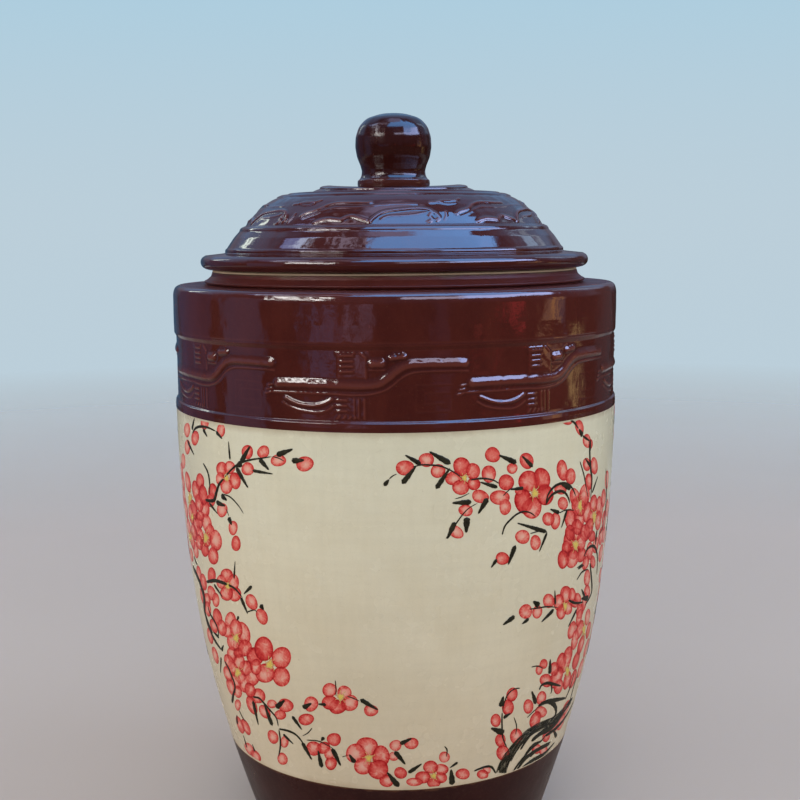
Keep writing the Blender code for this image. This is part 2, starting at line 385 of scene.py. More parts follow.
# Lid relief: one repeat of six.  Degrees from its middle, mm of height.
LID = (
    ("band", 1.20, 0.75, 1.0, True, ((-36.6, 405.6), (-34.8, 407.2), (-30.5, 409.0), (-27.1, 411.6), (-22.7, 412.9), (-15.6, 412.9), (-9.2, 412.8))),
    ("line", 0.30, 0.28, 1.4, True, ((-35.5, 404.2), (-31.5, 406.2), (-27.5, 408.6), (-23.0, 410.0), (-15.0, 410.0), (-9.5, 410.6), (-5.0, 411.4), (2.0, 411.9), (9.0, 411.6))),
    ("band", 1.30, 0.70, 1.2, True, ((-29.2, 400.9), (-27.7, 402.2), (-24.4, 403.2), (-21.7, 403.0), (-19.1, 402.7), (-17.3, 404.1), (-15.3, 404.8), (-12.6, 403.6), (-9.7, 402.3))),
    ("band", 1.20, 0.85, 1.0, True, ((-8.6, 401.2), (-7.4, 403.5), (-5.1, 406.2), (-1.9, 407.8), (3.0, 408.6), (9.0, 409.1), (12.4, 408.5), (13.9, 407.6))),
    ("line", 0.45, 0.45, 1.3, True, ((-4.2, 402.9), (-1.9, 404.5), (2.9, 404.8), (7.8, 405.4), (12.0, 406.6))),
    ("band", 1.05, 0.70, 1.0, True, ((11.8, 400.3), (13.4, 402.5), (13.0, 404.6), (14.4, 406.8), (15.6, 405.6), (16.3, 403.4), (15.2, 401.9))),
    ("line", 0.40, 0.50, 1.2, True, ((19.6, 407.1), (19.2, 404.4), (17.9, 401.6))),
    ("band", 0.85, 0.50, 1.1, True, ((14.5, 412.6), (20.0, 413.2), (25.0, 413.6), (28.2, 415.0))),
    ("line", 0.40, 0.40, 1.3, True, ((-42.3, 412.9), (-40.6, 413.9), (-37.2, 414.1), (-33.9, 413.1), (-35.7, 412.1), (-39.3, 411.9), (-42.3, 412.9))),
)


def relief(degrees, up, across, strokes, repeats, radius):
    """Height in metres of the strokes.  up is mm along the profile, across maps a stroke's height to it."""
    period = 360.0 / repeats
    local = (degrees + period / 2) % period - period / 2
    field = np.zeros(up.shape)
    for kind, half, high, soft, smooth, line in strokes:
        path = [(math.radians(a) * radius, across(z)) for a, z in line]
        if smooth:
            path = smoothed(path)
        for shift in (-period, 0.0, period):
            moved = [(x + math.radians(shift) * radius, y) for x, y in path]
            x = np.radians(local) * radius
            if min(q[0] for q in moved) > x.max() + 4 or max(q[0] for q in moved) < x.min() - 4:
                continue
            if kind == "pad":
                ring = moved + moved[:1]
                inside = np.zeros(x.shape, bool)
                for (x0, y0), (x1, y1) in zip(ring[:-1], ring[1:]):
                    cross = ((y0 > up) != (y1 > up)) & (
                        x < (x1 - x0) * (up - y0) / ((y1 - y0) if y1 != y0 else 1e-9) + x0)
                    inside ^= cross
                distance = path_distance(x, up, ring)[0]
                signed = np.where(inside, -distance, distance)
                field = np.maximum(field, high * step_up(signed, 0.0, soft))
            else:
                distance, above = path_distance(x, up, moved)
                if kind == "band":
                    shape = high * ridge(distance, above, half + soft / 2)
                else:
                    shape = high * (0.5 + 0.5 * np.cos(math.pi * np.clip(distance / (half + soft / 2), 0, 1)))
                if kind == "line":
                    # a thin line also rides on whatever it crosses
                    field = np.maximum(field, np.minimum(field + shape, 1.2 * high + 0.35))
                    field = np.maximum(field, shape)
                else:
                    field = np.maximum(field, shape)
    return field / 1000.0


# =====================================================================
# Painted blossoms: places read off and laid out on the belly
# petals: degrees, mm, half length, half breadth, tilt in degrees, strength of the paint
# hearts: degrees, mm, half length, half breadth, tilt.  leaves: pointed end, blunt end, half width
# twigs and trunk: half width, then points
# =====================================================================
PAINTING = {
    "right_top": {
        "petals": ((1.9, 264.2, 5.3, 4.3, -2, 0.95), (6.7, 268.4, 4.3, 4.2, -55, 0.9), (9.3, 261.9, 4.3, 4, -17, 0.9), (14.7, 264.1, 5.3, 4.9, -58, 1.05), (17.6, 260.8, 4.9, 3.9, -81, 1.05), (17.8, 252.9, 4, 3.4, -18, 1.15), (14.5, 251.4, 4.8, 4.3, -21, 1.1), (12.7, 257.2, 4.7, 4, -12, 1.05), (19.3, 245.6, 5.7, 3.7, -17, 0.8), (21.3, 258.3, 5.1, 4.6, -58, 1.1), (22.2, 269.2, 4.9, 4.5, -38, 1), (15.8, 238.1, 4.3, 3.5, -16, 0.75), (13.6, 225.8, 4.9, 3.4, -42, 0.8), (27.3, 260.2, 3.8, 3.1, -21, 0.85), (31.3, 263.6, 5.6, 4.5, -43, 0.95), (25.8, 252.4, 5.5, 4.6, -23, 1.1), (24.2, 243.9, 6.6, 4.4, -12, 1.1), (25.7, 237.9, 4.9, 3.9, -70, 1), (32, 251.9, 7.9, 5.8, -17, 1.2), (36.2, 252, 7.5, 5.5, -58, 1.2), (37.4, 241.5, 7.4, 5.7, -30, 1.2), (33.3, 234.4, 7.5, 6.1, -23, 1.2), (30.5, 239.5, 7.3, 6.1, -56, 1.2), (42.8, 254.4, 7, 4.6, -60, 1), (46.1, 249.5, 5.6, 4.5, -41, 0.95), (42.5, 242.9, 5.7, 3, -14, 0.8), (43.6, 234, 5.2, 3.7, -30, 0.85), (38.7, 226.4, 5.6, 3.9, -31, 0.9), (41.2, 224.2, 5.3, 4.5, -71, 0.95), (30.9, 218.4, 5.7, 4.1, -21, 0.85), (34.9, 213.5, 5, 4, -54, 0.9), (25.5, 207.1, 4.9, 3.8, -24, 0.95), (48.3, 236, 6.8, 4.5, -47, 0.95), (53, 235.2, 7.6, 6.2, -60, 0.9), (51, 228, 6.7, 4.6, -32, 0.9), (47.1, 222.3, 8.2, 4.9, -54, 0.95), (51, 220.5, 7.3, 5.2, -50, 1.1), (54.8, 223.7, 8.6, 5.7, -60, 1), (58.4, 227.7, 7.6, 5, -37, 0.95), (62.6, 224.3, 8.5, 5, -56, 0.9), (56.5, 212, 9.5, 5.9, -29, 1.15), (63.3, 213.6, 8.9, 5.3, -51, 0.95), (59.1, 206.1, 7.4, 3.4, -20, 1.15), (46.9, 209.3, 7.4, 5.7, -71, 1.05), (49.7, 212.9, 7.3, 3.6, -18, 0.95), (53.3, 206.1, 8, 5.3, -59, 0.9), (53.6, 197, 8.5, 4.3, -16, 1.25), (49.2, 196.4, 8, 5.4, -26, 0.95), (45.3, 198.5, 6.8, 4.9, -54, 1.1), (56.8, 190, 5.1, 4.3, -13, 1), (61.9, 187.7, 7.5, 3.3, -35, 0.9), (69.6, 188.9, 9.5, 5.6, -38, 0.7), (71.3, 199.9, 9.5, 4.8, -35, 0.6), (68.7, 237.5, 9.5, 4.9, -57, 0.35), (44.2, 283.6, 4.8, 2.4, -12, 1), (49.2, 278.2, 5.6, 3.8, -42, 0.9), (52.9, 268.7, 5.6, 3.8, -30, 0.95), (54.8, 266.2, 3.3, 2.6, -59, 1.2), (53.2, 254.1, 5.2, 3.8, -27, 0.9), (57.4, 251.5, 7.4, 4.2, -46, 0.8), (54.7, 242.6, 6.1, 4.3, -54, 0.95), (29.3, 246.4, 2.9, 2.3, -22, 0.9), (49.5, 229.9, 6.7, 4.9, -45, 1), (52.7, 232.2, 7.2, 5.1, -53, 1.05), (57.6, 217.9, 8.7, 5.8, -46, 1), (64, 219.1, 9.5, 5.6, -53, 0.95), (69.2, 211, 9.5, 5.8, -48, 0.8), (54.6, 210.5, 7.9, 5.1, -34, 1.1), (50.2, 216.4, 6.6, 4.6, -34, 1.05), (47.3, 214.1, 6.1, 4.4, -41, 0.95), (62.8, 198.2, 8, 4.8, -42, 1), (58.6, 196.8, 7.3, 4.7, -47, 0.95), (49.6, 201.6, 7.5, 4.7, -27, 1.1), (46, 204.7, 5.7, 4.1, -54, 1), (66.3, 226.9, 9, 4.9, -53, 0.85), (72.7, 217, 9.5, 4.5, -54, 0.6), (67.1, 201.7, 9.5, 5.3, -47, 0.9), (78.5, 192.2, 9.2, 4, -47, 0.5), (78.5, 178.6, 9.5, 4.4, -40, 0.6), (73.9, 171.4, 9.5, 4.6, -33, 0.8)),
        "hearts": ((15.4, 257.1, 2.3, 1.9, -81), (33.9, 243.8, 3.7, 3, -58), (50.9, 229.3, 4.7, 2.9, -69), (59.5, 218.2, 5.4, 3.4, -54), (50.2, 205.1, 4.7, 3.3, -41)),
        "leaves": ((1.9, 271.6, 5.5, 266, 1.06), (7.3, 273.2, 12.2, 265.6, 1.34), (4.4, 265.2, 1.2, 255, 1.23), (12, 263.3, 8.8, 251.6, 1.18), (-1.6, 257.9, -2.8, 253.9, 1.01), (19.1, 254.1, 23.6, 250, 0.95), (12.5, 243, 17.2, 242.8, 1.29), (18.8, 235.5, 21.1, 244.4, 1.34), (11.5, 222, 13.3, 231.8, 1.29), (16, 224.8, 16.1, 234.2, 1.62), (39, 232.4, 42.5, 228.6, 0.95), (43.5, 218.9, 45.3, 229.2, 0.84), (29.1, 227.4, 38.5, 218.5, 1.01), (36.2, 207.2, 38.5, 218.5, 0.84), (27.1, 202.7, 28.9, 214.2, 1.29), (22.5, 202.3, 24, 207.3, 0.90), (29.9, 266.9, 33.1, 259.5, 1.01), (23.7, 268.8, 28.5, 263.1, 1.23), (26.8, 248, 30.6, 247.8, 0.90), (60, 244.1, 56.9, 234.7, 0.78), (42.4, 246.3, 46.4, 242.1, 1.34), (52, 258.6, 55.3, 251.7, 0.84), (48.8, 277.4, 50.7, 272.6, 1.34), (54.7, 269.3, 54.5, 261.4, 0.84)),
        "twigs": ((0.28, (-1.6, 257.9), (-0.8, 259.7), (0.1, 260.8)), (0.39, (3.7, 264.6), (5.5, 265.7), (7.5, 265.5), (9.7, 264.7), (12, 262.2), (13.9, 259), (15, 256.6)), (0.34, (11.2, 222.1), (12.4, 226.6), (13.8, 231.7), (15.2, 236.2), (16.6, 239.4), (18.7, 242)), (0.45, (16.7, 255.7), (19.6, 256.1), (22.3, 254.6), (24.1, 251.9)), (0.62, (37.6, 235.3), (38.1, 241.2), (40, 245.4), (42.4, 246.6), (45, 245.3), (47.2, 241.4), (48.8, 235.8)), (0.67, (37.6, 236), (39.1, 240.3), (41.5, 242.1), (43.7, 241), (45.4, 237.2), (46.4, 232.5)), (0.28, (42.3, 228.6), (44.9, 229.4), (48.7, 227.7)), (0.34, (33, 219.7), (36.1, 220.1), (38.5, 218.5)), (0.50, (25.1, 221.4), (25.8, 226.6), (27.4, 230.3), (29, 232.8), (30.9, 233.7), (33, 232.1), (34.6, 229.1)), (0.28, (25, 244.6), (26.3, 247.3), (27.6, 249)), (0.28, (49.7, 257.6), (51.9, 248.2), (53.2, 240.8), (54.8, 232.5)), (0.48, (54.2, 268.9), (54.5, 259.5), (55.4, 249.8), (56.3, 243.2), (56.3, 230.5)), (0.36, (66.4, 246.3), (69.7, 223.9), (68.4, 208.1), (64.8, 203.6)), (0.50, (62.6, 208.1), (62.3, 203.1), (62.4, 198.5)), (0.45, (55.1, 194.9), (56.8, 199), (60.1, 199.2), (63.1, 195.5), (65.8, 187.9), (67.3, 175.7)), (0.34, (52.5, 188.6), (54.1, 189), (55.7, 189.4)), (0.42, (45.3, 283.9), (47, 281.6), (48.8, 277.4)), (0.39, (50.7, 272.6), (52.1, 270.8), (54.2, 268.2)), (0.25, (13.2, 245.3), (14.8, 246.2), (16.7, 248.2))),
    },
    "left_top": {
        "petals": ((-52.6, 282, 5.2, 3.8, 24, 0.95), (-45.6, 279.5, 4.5, 3.6, 38, 0.85), (-58.3, 270.9, 6, 4.2, 28, 0.95), (-63.8, 274, 6.5, 4.1, 25, 0.45), (-64.3, 263.1, 6.7, 4.1, 25, 0.6), (-69.7, 251.9, 7.9, 4.6, 30, 0.4), (-36.7, 269, 4.9, 4, 23, 0.9), (-31.9, 270.2, 4.8, 3.5, 21, 0.7), (-27.8, 266, 5.4, 3.5, 10, 0.75), (-21, 265.2, 5.7, 4.3, 11, 0.9), (-36.8, 258.9, 5.1, 4, 24, 1), (-46.2, 256.4, 5.4, 4.1, 21, 0.95), (-42.9, 258.3, 5, 3.8, 24, 0.9), (-41, 250.5, 5.2, 4.5, 45, 0.95), (-44.6, 245.6, 6, 4.1, 20, 0.9), (-47, 249.7, 4.6, 3.6, 42, 0.85), (-50.5, 240.3, 6.2, 4.5, 47, 1.1), (-47, 230.6, 5.9, 4.1, 31, 0.8), (-43.2, 221, 5.1, 3.8, 45, 0.75), (-42.6, 211.6, 5.3, 4, 49, 1.05), (-66.2, 240.6, 9.5, 6.2, 30, 1.1), (-60.1, 236.9, 9.4, 6.3, 24, 1.1), (-55.6, 236.3, 7.3, 5.5, 68, 1.15), (-72.2, 219.9, 9.5, 6.8, 33, 1), (-62.7, 224.1, 9.5, 5.9, 25, 1.1), (-55.2, 228, 8, 4.9, 28, 1.05), (-54.8, 219, 8.6, 5.6, 35, 0.85), (-61.7, 213.7, 9.5, 6, 31, 1), (-71, 208.6, 9.5, 5.5, 20, 0.95), (-58.7, 221.6, 7.1, 3.1, 15, 1.2), (-51.2, 209.6, 9.5, 6.3, 32, 0.8), (-53.3, 198.8, 7.8, 5.1, 36, 1), (-58.2, 200.7, 9.5, 5.1, 24, 1.15), (-60.4, 208.5, 9.2, 5.2, 30, 0.95), (-65.6, 196.5, 9.5, 5.9, 26, 0.85), (-78.5, 190.2, 9.5, 5.4, 28, 0.9), (-72, 188.8, 9.4, 4.1, 22, 0.9), (-58.5, 230, 9, 5.3, 27, 1), (-66, 219.2, 9.5, 5.8, 27, 0.95), (-73.7, 227.7, 9.5, 6, 36, 0.9), (-79.2, 204.7, 9.5, 6.1, 37, 1), (-59.8, 217.9, 9.4, 4.8, 22, 1.1), (-53.7, 213.8, 6.8, 4.5, 36, 0.95), (-78.5, 194.3, 9.5, 5.2, 32, 0.9), (-67.5, 200.7, 9.5, 5.4, 23, 1.1), (-61.3, 203.5, 9.5, 4.8, 22, 1), (-73.6, 243.6, 9.5, 4.9, 37, 0.8), (-72.8, 236.8, 9.5, 5.8, 33, 0.95), (-56.9, 244, 7, 4.7, 38, 1.05), (-55.8, 207.7, 6.5, 4, 32, 0.9), (-79.1, 221.7, 9.5, 4.5, 49, 0.7), (-64.9, 207.4, 9.5, 4.8, 23, 1.1), (-51.6, 234.9, 5.5, 3.9, 38, 1), (-78.4, 180, 9.1, 4, 26, 0.9)),
        "hearts": ((-44.2, 251.2, 2.7, 2.2, 44), (-65.4, 229.9, 5.9, 3.3, 34), (-56.3, 208.7, 5.2, 3.3, 38), (-69.7, 202.1, 6.9, 3, 22), (-64.8, 217.9, 4.3, 2.3, 29)),
        "leaves": ((-35.7, 272.8, -39, 261.9, 1.29), (-23.8, 273.4, -28.3, 268.9, 1.29), (-21, 267.5, -24.3, 266.4, 1.34), (-30.4, 259.9, -33.1, 266, 1.29), (-29.3, 257.8, -35.4, 258.4, 0.78), (-36.9, 247.5, -40.6, 259, 1.29), (-40.9, 258.9, -38.5, 262, 1.46), (-42.9, 273.9, -42.6, 262.6, 0.67), (-57.9, 283.5, -60, 275.3, 0.90), (-51.5, 273.8, -53.5, 278.4, 1.06), (-45.1, 274.5, -47.6, 278.3, 0.95), (-59.3, 259.9, -63.9, 267.7, 1.06), (-44.6, 237.4, -46.9, 239.9, 1.46), (-45.4, 233.7, -49.3, 234.6, 1.29), (-48.9, 227.3, -52.7, 232.9, 0.84), (-43.5, 222.7, -44.6, 227.2, 1.57)),
        "twigs": ((0.39, (-54.3, 256.9), (-52.2, 252.1), (-51.6, 245.5), (-52.1, 237.8)), (0.34, (-59.8, 273.2), (-57.7, 277.1), (-54.7, 279.2), (-51.2, 279.7), (-47.4, 278.4)), (0.28, (-46.4, 240.7), (-43.4, 240), (-40.7, 236), (-38.9, 231.2)), (0.53, (-54.7, 233.6), (-50.4, 235.1), (-48.9, 240.3), (-47.3, 246.5), (-45, 251)), (0.39, (-45, 251), (-42.4, 256.7), (-39.1, 261.8), (-35.9, 264.5), (-32.2, 266.5), (-29.4, 268)), (0.31, (-29.4, 268), (-27.8, 267.5), (-26.2, 266)), (0.22, (-45.3, 231.9), (-44.7, 229.6), (-44.4, 227.9))),
    },
    "left_low": {
        "petals": ((-55.6, 185, 6.6, 4.4, 41, 1.05), (-62, 176.9, 9.3, 5, 29, 1.15), (-47.9, 189.4, 6.9, 4, 27, 0.95), (-50.8, 183.7, 6.5, 3.8, 30, 0.9), (-44.9, 186.4, 5.9, 4.3, 47, 0.95), (-48.9, 176.7, 7.5, 4.2, 27, 0.9), (-44.9, 178.1, 6.8, 4, 26, 0.95), (-57.1, 172.6, 7.5, 4.4, 31, 1.05), (-39, 176.5, 5.3, 4.9, 61, 0.95), (-35.9, 168.7, 5.2, 4.7, 80, 0.9), (-55.5, 157.8, 6.8, 5.3, 36, 1.05), (-61.5, 159.3, 7.3, 4.4, 41, 0.95), (-59.1, 149.5, 6.8, 4.3, 13, 1.1), (-48.6, 159.6, 7.2, 4.8, 39, 0.75), (-43.3, 154.5, 7.5, 5.8, 75, 0.75), (-51.1, 151.3, 8.1, 3.7, 23, 0.8), (-49.1, 144.6, 8.4, 4.8, 24, 0.85), (-43.8, 143.8, 7.8, 4.5, 37, 0.75), (-47.2, 138.4, 5.8, 2.9, 30, 1.1), (-36.8, 148.2, 8.9, 6.6, 57, 1.15), (-31.1, 144.3, 8.7, 6.2, 52, 1.05), (-31.7, 131.1, 7.5, 5.5, 43, 1.05), (-37.6, 130.6, 9.3, 5.6, 33, 1.15), (-40.4, 140.7, 8.9, 5.6, 34, 1.2), (-47.5, 132.9, 8, 4.3, 51, 0.75), (-53.5, 129.6, 7.2, 4.6, 28, 0.85), (-52, 125.9, 6.8, 4.3, 29, 0.9), (-43, 126.2, 8.5, 5.9, 36, 0.85), (-47.2, 118.2, 8, 5.5, 42, 0.75), (-51.6, 117.4, 6.8, 4.8, 33, 0.8), (-55.7, 110.4, 8.7, 5.4, 43, 1), (-51.8, 109.7, 6.1, 3.5, 38, 0.9), (-64.1, 139.4, 9.1, 5, 40, 0.8), (-62.8, 127.2, 9, 5.3, 36, 0.8), (-42, 113.3, 7.8, 4.8, 34, 1.05), (-45.8, 104.7, 6.6, 5.4, 59, 1.15), (-40.5, 103.3, 5.4, 4.5, 34, 0.95), (-36.9, 110.8, 4.8, 2.7, 30, 0.85), (-32, 112.3, 6.7, 4.3, 32, 1.15), (-34.5, 104.6, 5.4, 3.1, 28, 1.1), (-53.9, 99.2, 6, 2.8, 45, 0.8), (-56.4, 83.1, 6.7, 5.1, 56, 0.9), (-52.3, 84.8, 5.6, 5, 58, 0.95), (-39.3, 86.5, 5.9, 4.2, 54, 0.85), (-34.9, 85.5, 5.1, 2.8, 59, 0.8), (-37.4, 72, 5.7, 3.7, 50, 0.85), (-25.9, 105.5, 6, 3.8, 25, 1.05), (-23.7, 116.8, 5.9, 4.3, 58, 0.95), (-54.8, 67.2, 7.7, 4.3, 26, 0.9), (-51.4, 64.7, 6.8, 3.9, 25, 0.9), (-24.8, 85.8, 6.3, 4.4, 48, 1.15), (-21.7, 87.4, 5.6, 3.6, 45, 1), (-20.1, 83.7, 4.6, 3.1, 67, 0.95), (-20, 76.9, 5.1, 3.7, 58, 1.05), (-18.1, 94.5, 5.2, 4.1, 51, 1), (-8.9, 91.9, 7, 6.1, 56, 0.95), (-4.8, 85, 7.4, 5.1, 85, 0.95), (-12.4, 86.4, 6.9, 5.8, 50, 0.9), (-10.4, 77.2, 6.3, 5.3, 62, 1), (-5.8, 74.9, 6.9, 6, 73, 1.1), (-3.7, 67.5, 4.7, 4.2, 77, 1.15), (-18.1, 128.2, 5, 4, 56, 0.85), (-13.9, 127.2, 4.9, 4, 65, 0.85), (-12.5, 120.2, 5.6, 4.6, 43, 0.85), (-16.2, 116.7, 5.6, 4.5, 32, 1.3), (-18.4, 119.1, 5.5, 4.3, 35, 1.1), (-7.2, 116.3, 4.4, 3.9, 25, 1.1), (-53.7, 151.7, 6.9, 4.8, 34, 0.85), (-46.5, 156, 7.2, 5.2, 39, 0.7), (-46.6, 144.8, 6.4, 3.9, 39, 0.9), (-50.6, 136.3, 7.3, 4.1, 33, 0.8), (-45, 130.4, 7.3, 4.7, 36, 0.85), (-48.7, 122.6, 6.9, 4.7, 39, 0.8), (-55.8, 119.2, 7.4, 4.8, 36, 0.9), (-45.1, 115.4, 6.4, 4.6, 48, 1), (-40.6, 133.6, 6.7, 4.1, 50, 0.95), (-64.4, 166.1, 7.4, 5.2, 43, 0.9), (-65.2, 180.2, 8.3, 4.9, 42, 1), (-60.9, 165.7, 6.5, 4.2, 33, 1.1), (-54.9, 169.4, 5.8, 3.9, 44, 0.85)),
        "hearts": ((-47.7, 182.5, 3.4, 2.2, 41), (-47.1, 149.1, 4.6, 2.8, 38), (-35.2, 138.1, 4.6, 3, 47), (-49.4, 124.6, 5.6, 2.9, 41), (-8.5, 83.5, 3.3, 2.6, 75), (-15, 124, 3.1, 2.4, 71)),
        "leaves": ((-41.5, 180.4, -38.2, 187, 0.84), (-40.8, 168, -42.8, 177.9, 1.18), (-35, 173.2, -36, 176.3, 1.46), (-50.8, 173.7, -54.8, 179.9, 0.90), (-43.5, 200.3, -44.7, 188.4, 0.62), (-44.7, 91.5, -44.6, 108.9, 1.29), (-40, 109.7, -38.4, 94.8, 1.46), (-31.9, 116, -35.6, 108.8, 1.34), (-27.7, 97.6, -30.3, 106, 1.12), (-26.1, 77.1, -28.4, 88.8, 1.23), (-23.5, 85.2, -23.2, 72.6, 1.23), (-17, 76.1, -19, 88.2, 1.34), (-14.1, 85.3, -12.6, 79.3, 1.23), (-3.5, 74, -0.1, 63.2, 1.46), (-23.4, 117.6, -26.4, 113.1, 1.23), (-5.3, 116.8, -9.9, 123.6, 1.23), (-31.6, 85.8, -34.8, 91.2, 0.95), (-51.2, 73.5, -51, 67.9, 0.73), (-56, 76.3, -56.2, 66.8, 0.73), (-56.5, 90.2, -58.4, 82.3, 0.90), (-53.1, 111.5, -57.8, 97.7, 0.95), (-54.5, 139.8, -56.5, 134.5, 0.90), (-60.2, 144.8, -56.5, 143.6, 0.95), (-61.4, 115.9, -57.8, 129.4, 0.73), (-21.6, 117.5, -19.2, 117.9, 0.90), (-22.1, 92.1, -21, 95.3, 0.84), (-45.7, 161, -44.5, 164.8, 0.73)),
        "twigs": ((0.90, (-72.4, 181.1), (-67.8, 177.9), (-64.8, 173.2), (-63.2, 165.5), (-64.9, 155.1), (-62.8, 147.7), (-60.6, 143.2)), (0.67, (-64.9, 155.1), (-64.3, 148.7), (-62.6, 144.5), (-61.2, 140.7), (-58.5, 137.2), (-56.3, 135.2)), (0.45, (-61.2, 161.5), (-59.8, 156.4), (-57.6, 153.2), (-56.3, 148.7), (-56.8, 143.7)), (0.48, (-59.6, 178.4), (-53.9, 182.6), (-48.9, 183.4), (-44.8, 182.3), (-42, 177.6)), (0.28, (-41.1, 169.1), (-38.3, 171.8), (-37.2, 170.4)), (0.53, (-55.9, 128.1), (-54.2, 124.4), (-53.4, 119.5), (-52.6, 114.6), (-53.9, 106.8)), (0.50, (-44.4, 111.2), (-41.7, 112.1), (-40, 109.7), (-38.1, 106), (-36.2, 101.6), (-36, 95.5)), (0.64, (-36, 94.1), (-33, 94.6), (-30.4, 93.5), (-28.7, 90.1), (-27.7, 85.6)), (0.50, (-36, 94.1), (-36.7, 83), (-38.9, 72.4)), (0.31, (-53.9, 95.7), (-52.6, 90.9), (-51.1, 89.2)), (0.36, (-26.9, 90.9), (-23.1, 91.8), (-20.4, 89.9), (-18.5, 87.7)), (0.28, (-16.1, 134.9), (-16.1, 129.7), (-16.3, 124.3)), (0.31, (-13.3, 125), (-11.8, 124), (-10, 122.2)), (0.22, (-16.3, 82.7), (-15.4, 83.6), (-14.5, 84.2)), (0.28, (-24.3, 100.4), (-25.9, 96.3), (-27.9, 93.3)), (0.39, (-68, 190.5), (-67, 187.8), (-65.4, 186.1))),
    },
    "right_low": {
        "petals": ((33.3, 171.4, 5.5, 4.4, -35, 1), (37.2, 169.3, 4.7, 3.8, -58, 0.85), (41, 174.4, 5.9, 4.1, -44, 0.95), (47.9, 175.4, 6.6, 4.7, -46, 0.95), (51.2, 173.2, 5.5, 3.4, -45, 0.9), (44.8, 171.7, 5.6, 4.5, -51, 0.95), (46.6, 164.2, 5.5, 4.3, -45, 0.95), (49.5, 164.8, 6, 3.5, -31, 0.95), (54.3, 168.1, 5.5, 3.3, -40, 0.95), (52.8, 166, 5.6, 2.4, -21, 1.2), (56.8, 158.6, 6.2, 4.5, -34, 1), (58.8, 179.1, 8.2, 4.2, -56, 0.7), (60.1, 169, 7.4, 3.9, -36, 0.9), (63.7, 150.6, 9.5, 4.3, -51, 0.8), (58.1, 145.2, 8.1, 6.4, -33, 1), (67.3, 138.5, 9.5, 5.1, -38, 0.85), (61.8, 131.7, 9.5, 5.6, -31, 0.95), (69.8, 124.3, 9.5, 6.1, -31, 0.9), (52.5, 127.4, 9.3, 7.5, -40, 1), (60.2, 123.2, 9.5, 6, -48, 1.1), (49.3, 119.1, 8.4, 6.7, -31, 1.1), (51.4, 111.5, 7.2, 4.3, -39, 1), (56.4, 111.7, 9, 4.9, -52, 1.15), (61.1, 109.5, 9.5, 5.9, -45, 1), (67.5, 112.2, 9.5, 6.4, -47, 0.7), (42, 132.9, 4.5, 2.9, -38, 0.9), (40.5, 129.8, 4, 2.8, -49, 0.9), (44.3, 120.4, 7.3, 4, -34, 0.9), (43.6, 109, 5.8, 4, -41, 0.95), (38.6, 106.3, 6.1, 3.8, -51, 0.9), (42.8, 94.3, 6.7, 5, -59, 0.95), (44.8, 98.6, 7.2, 3.6, -32, 0.9), (31.8, 118.2, 5, 4.3, -59, 0.95), (31, 109.9, 6.4, 4.1, -62, 1.05), (27.5, 102.8, 5.2, 3.4, -64, 0.9), (30.2, 87.6, 5.8, 3.6, -57, 1), (32, 77.7, 7, 4.3, -53, 1.1), (36, 87.1, 7, 4.5, -50, 0.9), (51.2, 77, 6, 3.9, -40, 0.95), (47.3, 70.6, 7, 3, -32, 0.9), (51.7, 66.7, 6.9, 3.1, -30, 1), (54.7, 80.4, 7.7, 3.4, -27, 0.95), (60.1, 80.1, 6.7, 5.4, -44, 0.6), (61.3, 89.1, 9.5, 5, -27, 0.85), (9, 77, 4.8, 4.1, -61, 0.95), (12.6, 74.4, 4.4, 3.6, -41, 0.95), (12.5, 67.9, 4.3, 3.5, -54, 0.9), (10.3, 64.9, 4.6, 3.8, -58, 1.05), (6.7, 69.5, 4.7, 4.1, -26, 1.05), (12.9, 82.8, 4.1, 3.3, -63, 0.8), (19.1, 68.7, 5.3, 3.7, -40, 0.9), (25.9, 65.5, 5, 3, -36, 1), (27.1, 68.1, 3.6, 2.4, -46, 0.7), (3.4, 94, 4.4, 4.1, -35, 0.8), (-0.9, 92.8, 3.9, 3.6, 87, 0.55), (-1.5, 85.1, 3.2, 3, 83, 0.5), (0.4, 73.3, 4.3, 3.9, -87, 1), (4.5, 66.5, 4.9, 3.2, -7, 1), (56.2, 139.7, 7.2, 5, -66, 0.95), (53.5, 131.4, 6.9, 5.2, -46, 1.05), (50.2, 129, 7.1, 5, -51, 1.1), (53.2, 148.4, 5.8, 4.9, -74, 1), (56.7, 154.1, 5.9, 4.3, -83, 0.9), (58.8, 163.3, 6, 3.9, -80, 0.85), (47.2, 126.3, 6.2, 4, -42, 1.1)),
        "hearts": ((48.1, 167.2, 3.8, 2.3, -58), (61.9, 142.5, 6.2, 2.7, -51), (54.9, 119.6, 5.8, 2.6, -52), (10.1, 70, 2.7, 2.2, -68)),
        "leaves": ((26.6, 165.7, 30, 170, 1.29), (32.3, 163.9, 34.6, 166.4, 1.01), (38.9, 162, 43.4, 167.9, 1.18), (50.8, 151.9, 54.4, 161.5, 0.95), (35.4, 177, 37.7, 172.8, 1.46), (42.9, 180.4, 43.7, 170.4, 0.73), (55.7, 173.8, 58.7, 166.6, 0.90), (56.4, 167.1, 61.6, 164.1, 1.46), (51.9, 189.6, 55, 190.4, 0.56), (44.4, 134.8, 45.4, 124.1, 1.34), (28.9, 118.7, 28.5, 111.5, 1.46), (32.3, 105.5, 29.8, 103.4, 1.12), (26.2, 98.3, 31, 92.4, 1.57), (38.8, 116.7, 41.6, 106.2, 1.23), (15.2, 73.6, 16.1, 61.8, 1.51), (3.6, 97.8, 0.3, 93.8, 1.12), (1.8, 79.3, -1.2, 88.9, 1.23), (6.5, 79.5, 2.6, 73.2, 1.12), (14.7, 74.5, 17.1, 78, 0.78), (54.8, 78.6, 59.7, 69.6, 1.12)),
